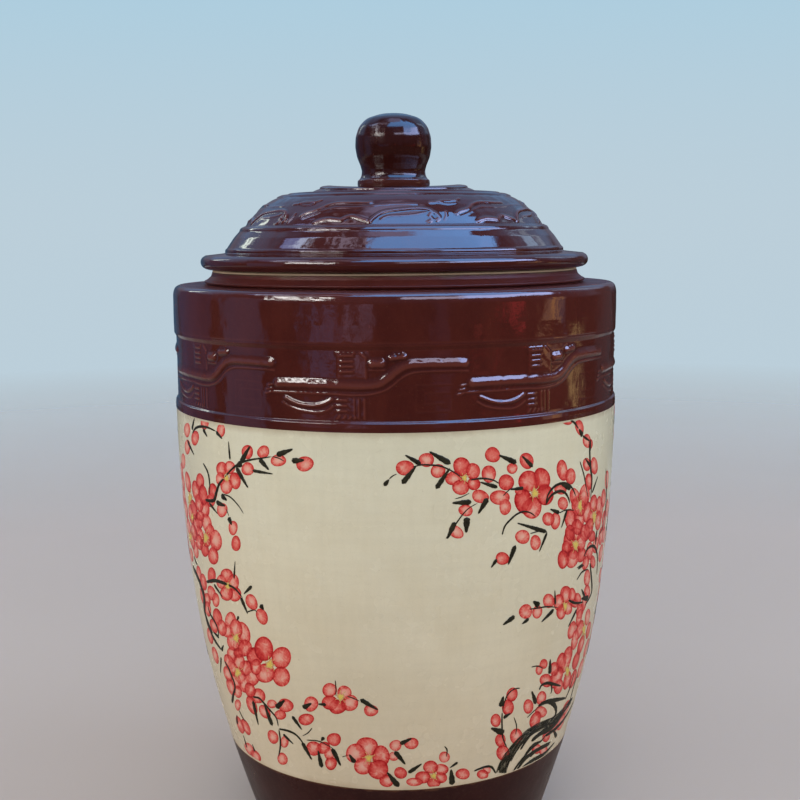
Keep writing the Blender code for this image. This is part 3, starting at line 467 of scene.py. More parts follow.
        "twigs": ((0.39, (34.3, 172.5), (37.4, 171.7), (40.6, 171), (45.1, 168)), (0.45, (49.2, 170.5), (53.1, 166.2), (58.1, 163.7)), (0.34, (12.7, 90.6), (13.5, 87.6), (13.5, 82.7)), (0.67, (41.9, 115.5), (42.6, 118.4), (45, 118.3), (48.1, 115.5), (52.9, 110.8)), (0.31, (37.2, 133.7), (39.4, 133.1), (42, 130.2)), (0.48, (29.2, 107.8), (29.8, 98.7), (30.9, 88.9), (33.2, 80.6)), (0.39, (34.3, 121.3), (32.2, 121.7), (30.4, 119.3), (29.5, 113.7), (29.3, 107.7)), (0.90, (43.4, 105), (46.6, 104.6), (51.5, 102.2), (58.4, 98.4)), (0.34, (38.8, 98.4), (40.9, 101.2), (43.6, 103.6)), (0.45, (59.6, 188.4), (61.6, 179.3), (63.9, 167.9), (62.5, 163.5), (59.2, 160.4)), (0.67, (22.6, 69.5), (24.6, 70.4), (26.9, 70.8), (28.8, 69.1), (30.8, 63.4)), (0.34, (35.5, 88.4), (35.2, 95), (33.6, 102.1)), (0.31, (52.4, 181.5), (55, 185.2), (58.7, 185)), (0.78, (40.4, 63.3), (42, 70.8), (44.5, 75.5), (48.5, 75.5), (51, 79.3)), (0.67, (44.5, 66.9), (47.5, 69.8), (51.8, 70.2), (55.8, 69.2)), (0.36, (58, 97.3), (60, 104.1), (60.7, 114.7)), (0.28, (63.4, 93), (63.8, 102.6), (65.1, 111.3)), (0.95, (42.6, 104.2), (47.1, 104.2), (51.7, 97.9), (53.5, 90.9), (50.5, 87.5)), (0.39, (46.9, 117), (47.9, 111.6), (47.7, 109)), (1.15, (39.4, 61), (42.5, 67.6), (47.5, 69.8), (55.4, 68.1)), (0.95, (41.6, 61), (46.6, 63.3), (53.3, 63.2), (59.6, 66.2)), (0.8, (37.3, 58), (39, 64.2), (41.4, 69.1), (44, 73), (48.5, 75.5)), (0.7, (44.7, 59.5), (50.3, 58.3), (56.7, 58.4)), (1.3, (43, 79.4), (47.3, 82), (53.4, 81.7), (58.4, 85.7), (62.6, 90.1)), (0.8, (50.2, 77.8), (56.8, 78.4), (64.1, 81.1), (71.3, 86.6)), (0.9, (38.8, 75.8), (40.9, 82.2), (43.3, 86.2), (48.6, 86))),
        "trunk": ((2.94, (32.5, 61), (33.4, 70.5), (35, 77.4)), (2.80, (33.8, 70.2), (35.7, 77.7), (38.9, 84.2), (43.1, 87.8)), (2.24, (40.1, 84.9), (44, 87.9), (48.9, 87.2), (54.1, 86.9)), (1.82, (50, 87.1), (54.6, 87.2), (59, 88.8), (63.2, 91.1), (66.7, 92.5))),
    },
}


# =====================================================================
# Materials
# =====================================================================
class Nodes:
    """Short calls for making a material's nodes."""

    def __init__(self, name):
        self.material = bpy.data.materials.new(name)
        self.material.use_nodes = True
        self.tree = self.material.node_tree
        self.shader = self.tree.nodes["Principled BSDF"]
        self.place = self.new("ShaderNodeTexCoord").outputs["Object"]

    def new(self, kind, **settings):
        node = self.tree.nodes.new(kind)
        for key, value in settings.items():
            setattr(node, key, value)
        return node

    def join(self, source, target):
        self.tree.links.new(source, target)

    def put(self, node, key, value):
        if isinstance(value, bpy.types.NodeSocket):
            self.join(value, node.inputs[key])
        else:
            node.inputs[key].default_value = value

    def noise(self, scale, detail=3.0, rough=0.5, distort=0.0, place=None):
        node = self.new("ShaderNodeTexNoise")
        self.join(place or self.place, node.inputs["Vector"])
        node.inputs["Scale"].default_value = scale
        node.inputs["Detail"].default_value = detail
        node.inputs["Roughness"].default_value = rough
        node.inputs["Distortion"].default_value = distort
        return node.outputs["Fac"]

    def squeeze(self, factors, place=None):
        node = self.new("ShaderNodeVectorMath", operation="MULTIPLY")
        self.join(place or self.place, node.inputs[0])
        node.inputs[1].default_value = factors
        return node.outputs["Vector"]

    def cracks(self, scale, width, place=None):
        """1 on the lines between cells, 0 elsewhere."""
        node = self.new("ShaderNodeTexVoronoi", feature="DISTANCE_TO_EDGE")
        self.join(place or self.place, node.inputs["Vector"])
        node.inputs["Scale"].default_value = scale
        return self.span(node.outputs["Distance"], 0.0, width, 1.0, 0.0)

    def span(self, value, low, high, to_low=0.0, to_high=1.0):
        node = self.new("ShaderNodeMapRange")
        self.put(node, "Value", value)
        node.inputs["From Min"].default_value = low
        node.inputs["From Max"].default_value = high
        node.inputs["To Min"].default_value = to_low
        node.inputs["To Max"].default_value = to_high
        return node.outputs["Result"]

    def math(self, operation, a, b=0.0):
        node = self.new("ShaderNodeMath", operation=operation)
        for key, value in ((0, a), (1, b)):
            self.put(node, key, value)
        return node.outputs["Value"]

    def mix(self, share, a, b, kind="MIX"):
        node = self.new("ShaderNodeMix", data_type="RGBA", blend_type=kind)
        self.put(node, "Factor", share)
        for key, value in ((6, a), (7, b)):
            if isinstance(value, bpy.types.NodeSocket):
                self.join(value, node.inputs[key])
            else:
                node.inputs[key].default_value = (*value, 1.0)
        return node.outputs[2]

    def height(self):
        node = self.new("ShaderNodeSeparateXYZ")
        self.join(self.place, node.inputs[0])
        return node.outputs["Z"]

    def value_of(self, name, out="Fac"):
        node = self.new("ShaderNodeAttribute", attribute_type="GEOMETRY", attribute_name=name)
        return node.outputs[out]

    def bump(self, height, strength, distance, after=None):
        node = self.new("ShaderNodeBump")
        node.inputs["Strength"].default_value = strength
        node.inputs["Distance"].default_value = distance
        self.join(height, node.inputs["Height"])
        if after is not None:
            self.join(after, node.inputs["Normal"])
        return node.outputs["Normal"]

    def finish(self, colour, rough, normal=None):
        self.put(self.shader, "Base Color", colour if isinstance(colour, bpy.types.NodeSocket) else (*colour, 1.0))
        self.put(self.shader, "Roughness", rough)
        if normal is not None:
            self.join(normal, self.shader.inputs["Normal"])
        return self.material


def brown_glaze(name, olive=None, depth=1.0, rough=(0.045, 0.105), shine=0.5):
    """Iron-brown glaze: nearly black where it pools, red-brown where it runs thin over an edge."""
    n = Nodes(name)
    cloud = n.span(n.noise(22.0, 4.0, 0.6), 0.32, 0.70)
    runs = n.span(n.noise(60.0, 3.0, 0.55, 0.4, n.squeeze((1.0, 1.0, 0.16))), 0.35, 0.70)
    fine = n.span(n.noise(420.0, 3.0, 0.6), 0.35, 0.70)
    colour = n.mix(cloud, (0.050 * depth, 0.0092 * depth, 0.0078 * depth), (0.078 * depth, 0.0155 * depth, 0.0115 * depth))
    colour = n.mix(n.math("MULTIPLY", runs, 0.35), colour, (0.096 * depth, 0.0200 * depth, 0.0135 * depth))
    colour = n.mix(n.math("MULTIPLY", fine, 0.14), colour, (0.105 * depth, 0.026 * depth, 0.016 * depth))
    thin = n.value_of("thin")
    colour = n.mix(n.span(thin, 0.0, 1.0, 0.0, 0.36), colour, (0.190, 0.054, 0.038))
    colour = n.mix(n.span(thin, 0.0, -1.0, 0.0, 0.42), colour, (0.022, 0.0045, 0.0042))
    specks = n.span(n.noise(1500.0, 1.0, 0.5), 0.70, 0.78, 0.0, 0.35)
    colour = n.mix(specks, colour, (0.150, 0.060, 0.030))
    if olive is not None:
        low, high = olive
        edge = n.math("ADD", n.height(), n.span(n.noise(55.0, 3.0, 0.6), 0.3, 0.7, -0.0012, 0.0012))
        colour = n.mix(n.span(edge, low, high), colour, (0.090, 0.060, 0.034))
    rough = n.span(n.noise(35.0, 3.0, 0.6), 0.3, 0.7, *rough)
    normal = n.bump(n.noise(115.0, 2.0, 0.5), 0.10, 0.0012)
    normal = n.bump(n.noise(900.0, 2.0, 0.5), 0.05, 0.0004, normal)
    made = n.finish(colour, rough, normal)
    n.shader.inputs["IOR"].default_value = 1.54
    n.shader.inputs["Specular IOR Level"].default_value = shine
    return made


def cream_glaze(name):
    """Cream slip under a clear glaze, with a faint fine craze and slow clouding."""
    n = Nodes(name)
    cloud = n.span(n.noise(9.0, 4.0, 0.6), 0.3, 0.7)
    colour = n.mix(cloud, (0.600, 0.548, 0.392), (0.665, 0.612, 0.448))
    warm = n.span(n.noise(28.0, 4.0, 0.65), 0.42, 0.75, 0.0, 0.38)
    colour = n.mix(warm, colour, (0.590, 0.512, 0.340))
    weave_a = n.span(n.noise(260.0, 2.0, 0.5, 0.0, n.squeeze((1.0, 1.0, 0.07))), 0.38, 0.66)
    weave_b = n.span(n.noise(260.0, 2.0, 0.5, 0.0, n.squeeze((0.07, 0.07, 1.0))), 0.38, 0.66)
    grain = n.math("MULTIPLY", n.math("ADD", weave_a, weave_b), 0.10)
    colour = n.mix(grain, colour, (0.470, 0.425, 0.300))
    craze = n.math("MULTIPLY", n.cracks(330.0, 0.030), 0.13)
    colour = n.mix(craze, colour, (0.330, 0.270, 0.180))
    specks = n.span(n.noise(720.0, 2.0, 0.6), 0.735, 0.79, 0.0, 0.55)
    colour = n.mix(specks, colour, (0.250, 0.170, 0.095))
    # painted shade and light: the slip is darker and warmer towards the foot and lighter and cooler towards the
    # shoulder, as the light falls
    colour = n.mix(1.0, colour, n.mix(n.span(n.height(), 0.070, 0.275), (1.00, 0.925, 0.900), (1.035, 1.095, 1.150)), "MULTIPLY")
    # the dark glazes stain the slip a little where they meet it
    stain = n.math("ADD", n.height(), n.span(n.noise(70.0, 3.0, 0.6), 0.3, 0.7, -0.0014, 0.0014))
    colour = n.mix(n.span(stain, CREAM_LINE - 0.0040, CREAM_LINE + 0.0010, 0.0, 0.42), colour, (0.300, 0.200, 0.115))
    colour = n.mix(n.span(stain, FOOT_LINE + 0.0036, FOOT_LINE - 0.0010, 0.0, 0.42), colour, (0.300, 0.200, 0.115))
    rough = n.span(n.noise(40.0, 3.0, 0.6), 0.3, 0.7, 0.20, 0.30)
    normal = n.bump(n.math("ADD", weave_a, weave_b), 0.045, 0.0004)
    normal = n.bump(n.noise(75.0, 2.0, 0.5), 0.08, 0.0016, normal)
    return n.finish(colour, rough, normal)


def foot_glaze(name):
    n = Nodes(name)
    cloud = n.span(n.noise(34.0, 4.0, 0.6), 0.3, 0.7)
    colour = n.mix(cloud, (0.026, 0.0086, 0.0082), (0.044, 0.0140, 0.0120))
    fine = n.span(n.noise(520.0, 3.0, 0.6), 0.50, 0.72, 0.0, 0.4)
    colour = n.mix(fine, colour, (0.060, 0.030, 0.021))
    edge = n.math("ADD", n.height(), n.span(n.noise(120.0, 3.0, 0.6), 0.3, 0.7, -0.0009, 0.0009))
    colour = n.mix(n.span(edge, FOOT_LINE - 0.0016, FOOT_LINE - 0.0004, 0.0, 0.75), colour, (0.105, 0.045, 0.024))
    colour = n.mix(n.span(edge, 0.0060, 0.0015, 0.0, 0.8), colour, (0.120, 0.060, 0.034))
    rough = n.span(n.noise(60.0, 3.0, 0.6), 0.3, 0.7, 0.26, 0.38)
    normal = n.bump(n.noise(160.0, 3.0, 0.55), 0.10, 0.0010)
    normal = n.bump(n.noise(1100.0, 2.0, 0.5), 0.08, 0.0003, normal)
    n.shader.inputs["Specular IOR Level"].default_value = 0.16
    return n.finish(colour, rough, normal)


def bare_clay(name):
    n = Nodes(name)
    cloud = n.span(n.noise(40.0, 4.0, 0.6), 0.3, 0.7)
    colour = n.mix(cloud, (0.430, 0.320, 0.215), (0.560, 0.440, 0.310))
    grit = n.span(n.noise(1300.0, 2.0, 0.6), 0.60, 0.72, 0.0, 0.6)
    colour = n.mix(grit, colour, (0.230, 0.150, 0.095))
    turned = n.noise(900.0, 2.0, 0.5, 0.0, n.squeeze((0.05, 0.05, 1.0)))
    normal = n.bump(turned, 0.18, 0.0005)
    normal = n.bump(n.noise(1600.0, 2.0, 0.6), 0.25, 0.0003, normal)
    return n.finish(colour, 0.82, normal)


# the slip's colour under more and more red wash: how much of it, then red, green, blue
WASH = (
    (0.00, 0.690, 0.585, 0.440), (0.20, 0.690, 0.410, 0.310), (0.45, 0.680, 0.250, 0.195), (0.75, 0.650, 0.150, 0.115),
    (1.00, 0.615, 0.100, 0.080), (1.35, 0.570, 0.062, 0.052), (1.75, 0.500, 0.034, 0.031), (2.30, 0.400, 0.017, 0.018),
    (3.00, 0.290, 0.009, 0.011))


def petal_enamel(name):
    """Thin red overglaze wash on each petal: a dark drying line at its edge, and brush streaks from its middle."""
    n = Nodes(name)
    spot = n.value_of("spot", "Vector")
    parts = n.new("ShaderNodeSeparateXYZ")
    n.join(spot, parts.inputs[0])
    flat = n.squeeze((1.0, 1.0, 0.0), spot)
    length = n.new("ShaderNodeVectorMath", operation="LENGTH")
    n.join(flat, length.inputs[0])
    out = length.outputs["Value"]
    unit = n.new("ShaderNodeVectorMath", operation="NORMALIZE")
    n.join(flat, unit.inputs[0])
    ray = n.new("ShaderNodeCombineXYZ")
    n.join(n.math("ADD", n.math("MULTIPLY", out, 0.90), parts.outputs["Z"]), ray.inputs["Z"])
    place = n.new("ShaderNodeVectorMath", operation="ADD")
    n.join(n.squeeze((2.6, 2.6, 0.0), unit.outputs["Vector"]), place.inputs[0])
    n.join(ray.outputs[0], place.inputs[1])
    rays = n.math("SUBTRACT", n.noise(1.6, 3.0, 0.65, 0.0, place.outputs["Vector"]), 0.5)
    blots = n.math("SUBTRACT", n.noise(330.0, 3.0, 0.6, 0.9), 0.5)
    # the drying line wanders in and out and swells; inside it the wash thins softly towards the middle
    edge = n.math("ADD", n.math("SUBTRACT", out, 0.915), n.math("MULTIPLY", blots, 0.14))
    line = n.math("SUBTRACT", 1.0, n.math("MINIMUM", n.math("MULTIPLY", n.math("ABSOLUTE", edge), 8.0), 1.0))
    line = n.math("MULTIPLY", n.math("MULTIPLY", line, line), n.math("ADD", 0.85, n.math("MULTIPLY", rays, 3.2)))
    rim = n.math("MULTIPLY", n.span(n.math("ADD", out, n.math("MULTIPLY", blots, 0.5)), 0.42, 0.95, -0.22, 0.55),
                 n.math("ADD", 1.0, n.math("MULTIPLY", rays, 2.8)))
    wash = n.math("ADD", n.math("ADD", n.value_of("wash"), rim), n.math("MAXIMUM", line, 0.0))
    wash = n.math("ADD", wash, n.math("MULTIPLY", n.math("MULTIPLY", rays, n.span(out, 0.15, 0.60, 0.15, 1.0)), 1.35))
    wash = n.math("ADD", wash, n.math("MULTIPLY", blots, 1.5))
    wash = n.math("MAXIMUM", wash, n.span(out, 0.0, 1.0, 0.20, 0.60))
    ramp = n.new("ShaderNodeValToRGB")
    stops = ramp.color_ramp.elements
    while len(stops) < len(WASH):
        stops.new(0.5)
    for stop, (at, *rgb) in zip(stops, WASH):
        stop.position = at / 3.0
        stop.color = (*rgb, 1.0)
    n.join(n.math("MULTIPLY", wash, 1.0 / 3.0), ramp.inputs["Fac"])
    normal = n.bump(n.noise(800.0, 2.0, 0.5), 0.06, 0.0003)
    n.shader.inputs["Specular IOR Level"].default_value = 0.10
    return n.finish(ramp.outputs["Color"], 0.30, normal)


def heart_enamel(name):
    n = Nodes(name)
    paint = n.value_of("paint", "Color")
    grain = n.span(n.noise(1500.0, 2.0, 0.6), 0.45, 0.72, 0.0, 0.45)
    colour = n.mix(grain, paint, (0.330, 0.250, 0.060))
    n.shader.inputs["Specular IOR Level"].default_value = 0.30
    normal = n.bump(n.noise(1500.0, 2.0, 0.6), 0.30, 0.0003)
    return n.finish(colour, 0.36, normal)


def ink_enamel(name):
    n = Nodes(name)
    wash = n.span(n.noise(300.0, 3.0, 0.6, 0.5), 0.3, 0.72)
    colour = n.mix(wash, (0.0120, 0.0110, 0.0070), (0.034, 0.031, 0.018))
    dry = n.span(n.noise(1300.0, 2.0, 0.6), 0.62, 0.74, 0.0, 0.35)
    colour = n.mix(dry, colour, (0.080, 0.075, 0.045))
    n.shader.inputs["Specular IOR Level"].default_value = 0.12
    rough = n.span(n.noise(300.0, 2.0, 0.5), 0.3, 0.7, 0.28, 0.42)
    normal = n.bump(n.noise(1200.0, 2.0, 0.5), 0.10, 0.0003)
    return n.finish(colour, rough, normal)


def lining_glaze(name):
    """The inside: the same iron glaze, thinner and more matt, with throwing rings."""
    n = Nodes(name)
    cloud = n.span(n.noise(16.0, 4.0, 0.6), 0.3, 0.7)
    colour = n.mix(cloud, (0.070, 0.026, 0.016), (0.120, 0.048, 0.027))
    ringed = n.noise(210.0, 2.0, 0.5, 0.0, n.squeeze((0.04, 0.04, 1.0)))
    colour = n.mix(n.span(ringed, 0.4, 0.7, 0.0, 0.35), colour, (0.150, 0.066, 0.036))
    normal = n.bump(ringed, 0.20, 0.0012)
    normal = n.bump(n.noise(700.0, 2.0, 0.5), 0.06, 0.0004, normal)
    return n.finish(colour, n.span(cloud, 0.0, 1.0, 0.22, 0.34), normal)


M_BROWN = brown_glaze("shoulder_glaze", depth=0.86)
M_NECK = brown_glaze("neck_glaze", olive=(0.3692, 0.3712), depth=1.05, rough=(0.38, 0.50), shine=0.22)
M_LID = brown_glaze("lid_brown_glaze", depth=0.72)
M_KNOB = brown_glaze("knob_brown_glaze", depth=0.40, rough=(0.10, 0.17), shine=0.36)
M_CREAM = cream_glaze("cream_glaze")
M_FOOT = foot_glaze("foot_dark_glaze")
M_CLAY = bare_clay("bare_clay")
M_LINING = lining_glaze("lining_glaze")
M_PETAL = petal_enamel("blossom_enamel")
M_HEART = heart_enamel("heart_enamel")
M_INK = ink_enamel("ink_enamel")


# =====================================================================
# Jar
# =====================================================================
GLAZE_WAVES = waves(26, 0.060, 0.012, 7)
SMALL_WAVES = waves(22, 0.011, 0.004, 8)
WORM_WAVES = waves(18, 0.009, 0.0045, 9)


def uneven(ring, large=0.00012, small=0.00002):
    """A ring with the slight unevenness of a thick glaze; it only ever sinks below the profile."""
    a = angles(ring.n)
    dent = large * (1.0 + wavy(GLAZE_WAVES, a, ring.z) / 2.2) / 2 * 2
    dent = np.clip(dent, 0, None) + small * (1.0 + wavy(SMALL_WAVES, a, ring.z) / 2.2)
    ring.r = ring.r - np.clip(dent, 0, None)
    return ring


def unsharp(field, wide):
    return field - softened(field, wide)


def jar_rings():
    inner = [Ring(0.0, FLOOR_Z, 1, INSIDE)]
    inner += rings([(0.004, FLOOR_Z, 0), (0.0400, FLOOR_Z, 0)], 45, INSIDE, 0.012)
    inner += rings([(0.050, FLOOR_Z, 0), (0.0745, FLOOR_Z, 0)], 90, INSIDE, 0.009)
    wall = [(0.0770, FLOOR_Z, 0), (0.0945, FLOOR_Z + 0.0005, 0.020), (0.1000, 0.0380, 0)]
    inner += rings(wall, 180, INSIDE, 0.004, 8)
    for z in np.linspace(0.046, 0.274, 40):
        inner.append(Ring(belly_radius(float(z)) - WALL, float(z), 180, INSIDE))
    inner += rings([(RELIEF_R - WALL + 0.0010, 0.2830, 0), (RELIEF_R - WALL, 0.3545, 0.013),
                    (0.1200, 0.3545, 0)], 180, INSIDE, 0.005, 8)
    inner += rings([(0.1185, 0.3545, 0), (RIM_IN, 0.3550, 0.004), (RIM_IN, 0.3640, 0)], 360, INSIDE, 0.002, 5)
    rim = rings([(RIM_IN, 0.3655, 0), (RIM_IN, RIM_Z, 0.0014), (0.1150, RIM_Z, 0)], 360, CLAY, 0.0012, 5)
    rim += rings([(0.1158, RIM_Z, 0), (RIM_OUT, RIM_Z, 0.0010), (0.1194, 0.3707, 0)], 720, CLAY, 0.0012, 5)
    neck = rings([(0.1195, 0.3704, 0), (0.1204, 0.3676, 0.002), (0.1228, 0.3655, 0.003),
                  (0.1249, 0.3645, 0.0006), (0.1244, 0.3634, 0.0005), (0.1221, 0.3625, 0.0004),
                  (0.1224, 0.3620, 0.0004), (0.1300, 0.3621, 0.003), (0.1394, 0.3621, 0)],
                 720, NECK, 0.0014, 4)
    # a tight edge, then a long easy run into the upright wall
    top = arc((BAND_R - 0.00072 - 0.00376, 0.3621 - SHOULDER_ROUND), SHOULDER_ROUND, 88, 22, 9)
    top += arc((BAND_R - 0.0120, 0.3553), 0.0120, 19, 0, 9)
    band = rings(top, 720, BROWN, 0.0012, 1)
    band += rings([(BAND_R, 0.3515, 0), (BAND_R + 0.0001, 0.3440, 0.01), (BAND_R, 0.3356, 0)], 720, BROWN, 0.0018)
    pair = rings([(BAND_R, 0.3350, 0), (BAND_R - 0.00002, 0.3342, 0.0004), (BAND_R - 0.00010, 0.3337, 0.0003),
                  (BAND_R - 0.00005, 0.3332, 0.0004), (BAND_R - 0.00018, 0.3322, 0.0010),
                  (RELIEF_R, 0.3301, 0.0014), (RELIEF_R, 0.3296, 0)], 1440, BROWN, 0.00045, 4)
    ground = [Ring(RELIEF_R, float(z), 1440, BROWN) for z in np.linspace(0.3291, 0.2911, 84)]
    roll = rings([(RELIEF_R, 0.2908, 0), (RELIEF_R, 0.2901, 0.0006), (0.1452, 0.2890, 0.0010),
                  (0.14540, 0.2866, 0.0030), (0.14535, 0.28425, 0)], 1440, BROWN, 0.0006, 4)
    lip = [Ring(0.14530, CREAM_LINE - 0.00002, 1440, CREAM)]
    belly = [Ring(belly_radius(CREAM_LINE - 0.0004) - 0.00022, CREAM_LINE - 0.0004, 720, CREAM)]
    belly += [Ring(belly_radius(float(z)) - 0.00022, float(z), 360, CREAM)
              for z in np.linspace(CREAM_LINE - 0.0035, FOOT_LINE + 0.0008, 70)]
    foot = [Ring(belly_radius(FOOT_LINE), FOOT_LINE, 360, FOOT)]
    foot += [Ring(belly_radius(float(z)), float(z), 360, FOOT)
             for z in np.linspace(FOOT_LINE - 0.0010, 0.0060, 20)]
    under = rings([(0.0981, 0.0042, 0), (0.0968, 0.0, 0.0012), (0.0930, 0.0, 0)], 360, FOOT, 0.002, 4)
    under += rings([(0.0925, 0.0, 0), (0.0810, 0.0, 0.0010), (0.0800, 0.0030, 0.0008), (0.0740, 0.0030, 0)],
                   180, CLAY, 0.003, 4)
    under += rings([(0.0700, 0.0030, 0), (0.0450, 0.0030, 0)], 90, CLAY, 0.012)
    under += rings([(0.0380, 0.0030, 0), (0.0060, 0.0030, 0)], 45, CLAY, 0.012)
    under.append(Ring(0.0, 0.0030, 1, CLAY))
    return inner, rim, neck, band, pair, ground, roll, lip, belly, foot, under


def make_jar():
    inner, rim, neck, band, pair, ground, roll, lip, belly, foot, under = jar_rings()
    a = angles(1440)
    z = np.array([ring.z for ring in ground])
    degrees, up = np.meshgrid(a, (z - BELLY_TOP) * 1000.0)
    field = relief(degrees, up, lambda v: v, SHOULDER, 8, RELIEF_R * 1000)
    field = softened(field, 1)
    fade = np.clip(np.minimum(z - 0.2908, 0.3297 - z) / 0.0008, 0, 1)[:, None]
    field = field * fade
    thin = np.clip(unsharp(field, 8) / 0.00015, -1, 1)
    drag = 0.00003 * wavy(WORM_WAVES, a[None, :], z[:, None]) * np.clip(field / 0.0006, 0, 1)
    for k, ring in enumerate(ground):
        ring.r = RELIEF_R + field[k] + drag[k]
        ring.values["thin"] = thin[k] * 0.9
    for ring in neck[-14:] + band + pair + ground:
        uneven(ring)
    for ring in roll:
        uneven(ring, 0.00008, 0.00002)
    for ring in band[4:10]:
        ring.values["thin"] = 0.12
    for ring in pair:
        ring.values["thin"] = 0.30 if 0.3339 < float(np.mean(ring.z)) < 0.3346 else -0.3 if 0.3329 < float(np.mean(ring.z)) < 0.3336 else 0.1
    for ring in roll[-4:] + lip:
        ring.values["thin"] = -0.25
    jar = turned_skin(
        "jar_skin", inner + rim + neck + band + pair + ground + roll + lip + belly + foot + under,
        {BROWN: M_BROWN, NECK: M_NECK, CREAM: M_CREAM, FOOT: M_FOOT, CLAY: M_CLAY, INSIDE: M_LINING},
        shares={BROWN: 1.7, NECK: 0.5, CREAM: 1.0, FOOT: 0.7, CLAY: 0.35, INSIDE: 0.3}, extra=("thin",))
    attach(jar, "jar")
    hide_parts("jar_body")
    return jar


# =====================================================================
# Lid and knob
# =====================================================================
LID_DOME = ((0.3990, 0.0985), (0.4006, 0.0974), (0.4040, 0.0948), (0.4072, 0.0920), (0.4118, 0.0870),
            (0.4146, 0.0835), (0.4168, 0.0798), (0.4179, 0.0770))


def lid_rings():
    crown = rings([(0.0040, 0.4230, 0), (0.0245, 0.4230, 0)], 270, BROWN, 0.006)
    crown += rings([(0.0262, 0.4230, 0), (0.0470, 0.4222, 0.003), (0.0484, 0.4216, 0.0008),
                    (0.0486, 0.4206, 0.0005), (0.0500, 0.4203, 0.0006), (0.0560, 0.4200, 0)], 270, BROWN, 0.0018, 4)
    crown += rings([(0.0580, 0.4200, 0), (0.0672, 0.4203, 0.002), (0.0690, 0.4202, 0.0010),
                    (0.0700, 0.4192, 0.0006), (0.0712, 0.4190, 0)], 540, BROWN, 0.0012, 4)
    crown += rings([(0.0718, 0.4190, 0), (0.0737, 0.4192, 0.0008), (0.0752, 0.4186, 0.0006), (0.0764, 0.4181, 0)],
                   1080, BROWN, 0.0006, 4)
    dome = []
    zs = np.array([d[0] for d in LID_DOME])
    rs = np.array([d[1] for d in LID_DOME])
    fine_z = np.linspace(0.4179, 0.3997, 400)
    fine_r = np.interp(fine_z, zs, rs)
    fine_r = np.convolve(np.pad(fine_r, 12, mode="edge"), np.ones(25) / 25, mode="valid")
    fine_r[:12], fine_r[-12:] = np.interp(fine_z[:12], zs, rs), np.interp(fine_z[-12:], zs, rs)
    fine_r = np.convolve(np.pad(fine_r, 4, mode="edge"), np.ones(9) / 9, mode="valid")
    run = np.concatenate([[0], np.cumsum(np.hypot(np.diff(fine_r), np.diff(fine_z)))])
    steps = np.linspace(0, run[-1], 56)
    for s in steps:
        dome.append(Ring(float(np.interp(s, run, fine_r)), float(np.interp(s, run, fine_z)), 1080, BROWN))
    rib = rings([(0.0983, 0.39935, 0), (0.0985, 0.39895, 0.0004), (0.0992, 0.39890, 0.0004),
                 (0.1006, 0.3981, 0.0016), (0.1013, 0.3968, 0.0008), (0.1014, 0.3963, 0)], 1080, BROWN, 0.0005, 5)
    panel = rings([(0.1017, 0.3959, 0), (0.1050, 0.3922, 0.012), (0.1080, 0.3879, 0.010),
                   (0.1094, 0.3858, 0)], 540, BROWN, 0.0011, 8)
    bead = rings([(0.1097, 0.3854, 0), (0.1106, 0.3847, 0.0010), (0.1111, 0.3836, 0.0010), (0.1108, 0.3828, 0.0005),
                  (0.1116, 0.3822, 0.0010), (0.1145, 0.3818, 0.0020), (0.1240, 0.3808, 0)], 540, BROWN, 0.0012, 5)
    face = rings(arc((0.1228, 0.3766), 0.00420, 70, -66, 16), 540, BROWN, 0.0012, 1)
    seat = rings([(0.1236, 0.37235, 0), (0.1222, 0.3720, 0.0008), (0.1200, 0.3719, 0)], 540, BROWN, 0.0016, 3)
    seat += rings([(0.1194, 0.3718, 0), (0.1085, 0.3718, 0.0010), (0.10840, 0.3700, 0)], 270, CLAY, 0.003, 3)
    skirt = rings([(0.1083, 0.3690, 0), (0.1077, 0.3600, 0.002), (0.1065, 0.3590, 0.0009), (0.1030, 0.3590, 0.0009),
                   (0.1016, 0.3602, 0.0009), (0.1015, 0.3640, 0)], 270, CLAY, 0.003, 4)
    under = rings([(0.1015, 0.3660, 0), (0.1014, 0.3800, 0.004), (0.1000, 0.3850, 0.003), (0.0978, 0.3912, 0.004),
                   (0.0920, 0.3962, 0.006), (0.0880, 0.4020, 0.006), (0.0826, 0.4070, 0.006), (0.0755, 0.4110, 0.006),
                   (0.0661, 0.4136, 0.006), (0.0475, 0.4144, 0.006), (0.0300, 0.4158, 0.003), (0.0040, 0.4160, 0)],
                  135, INSIDE, 0.004, 4)
    return crown, dome, rib, panel, bead, face, seat, skirt, under


def lifted_edge(ring):
    """The crown's disc stands a little proud at the back and sides, as it left the kiln."""
    a = angles(ring.n)
    r = float(np.mean(ring.r))
    out = np.clip((r - 0.0265) / (0.0470 - 0.0265), 0, 1)
    down = 1.0 - np.clip((r - 0.0486) / (0.0580 - 0.0486), 0, 1)
    share = out * out * (3 - 2 * out) * down * down * (3 - 2 * down)
    back = (1 - np.cos(np.radians(a))) / 2
    ring.z = ring.z + share * (0.0004 + 0.0036 * np.clip(back * 1.5, 0, 1) ** 1.2)
    return ring


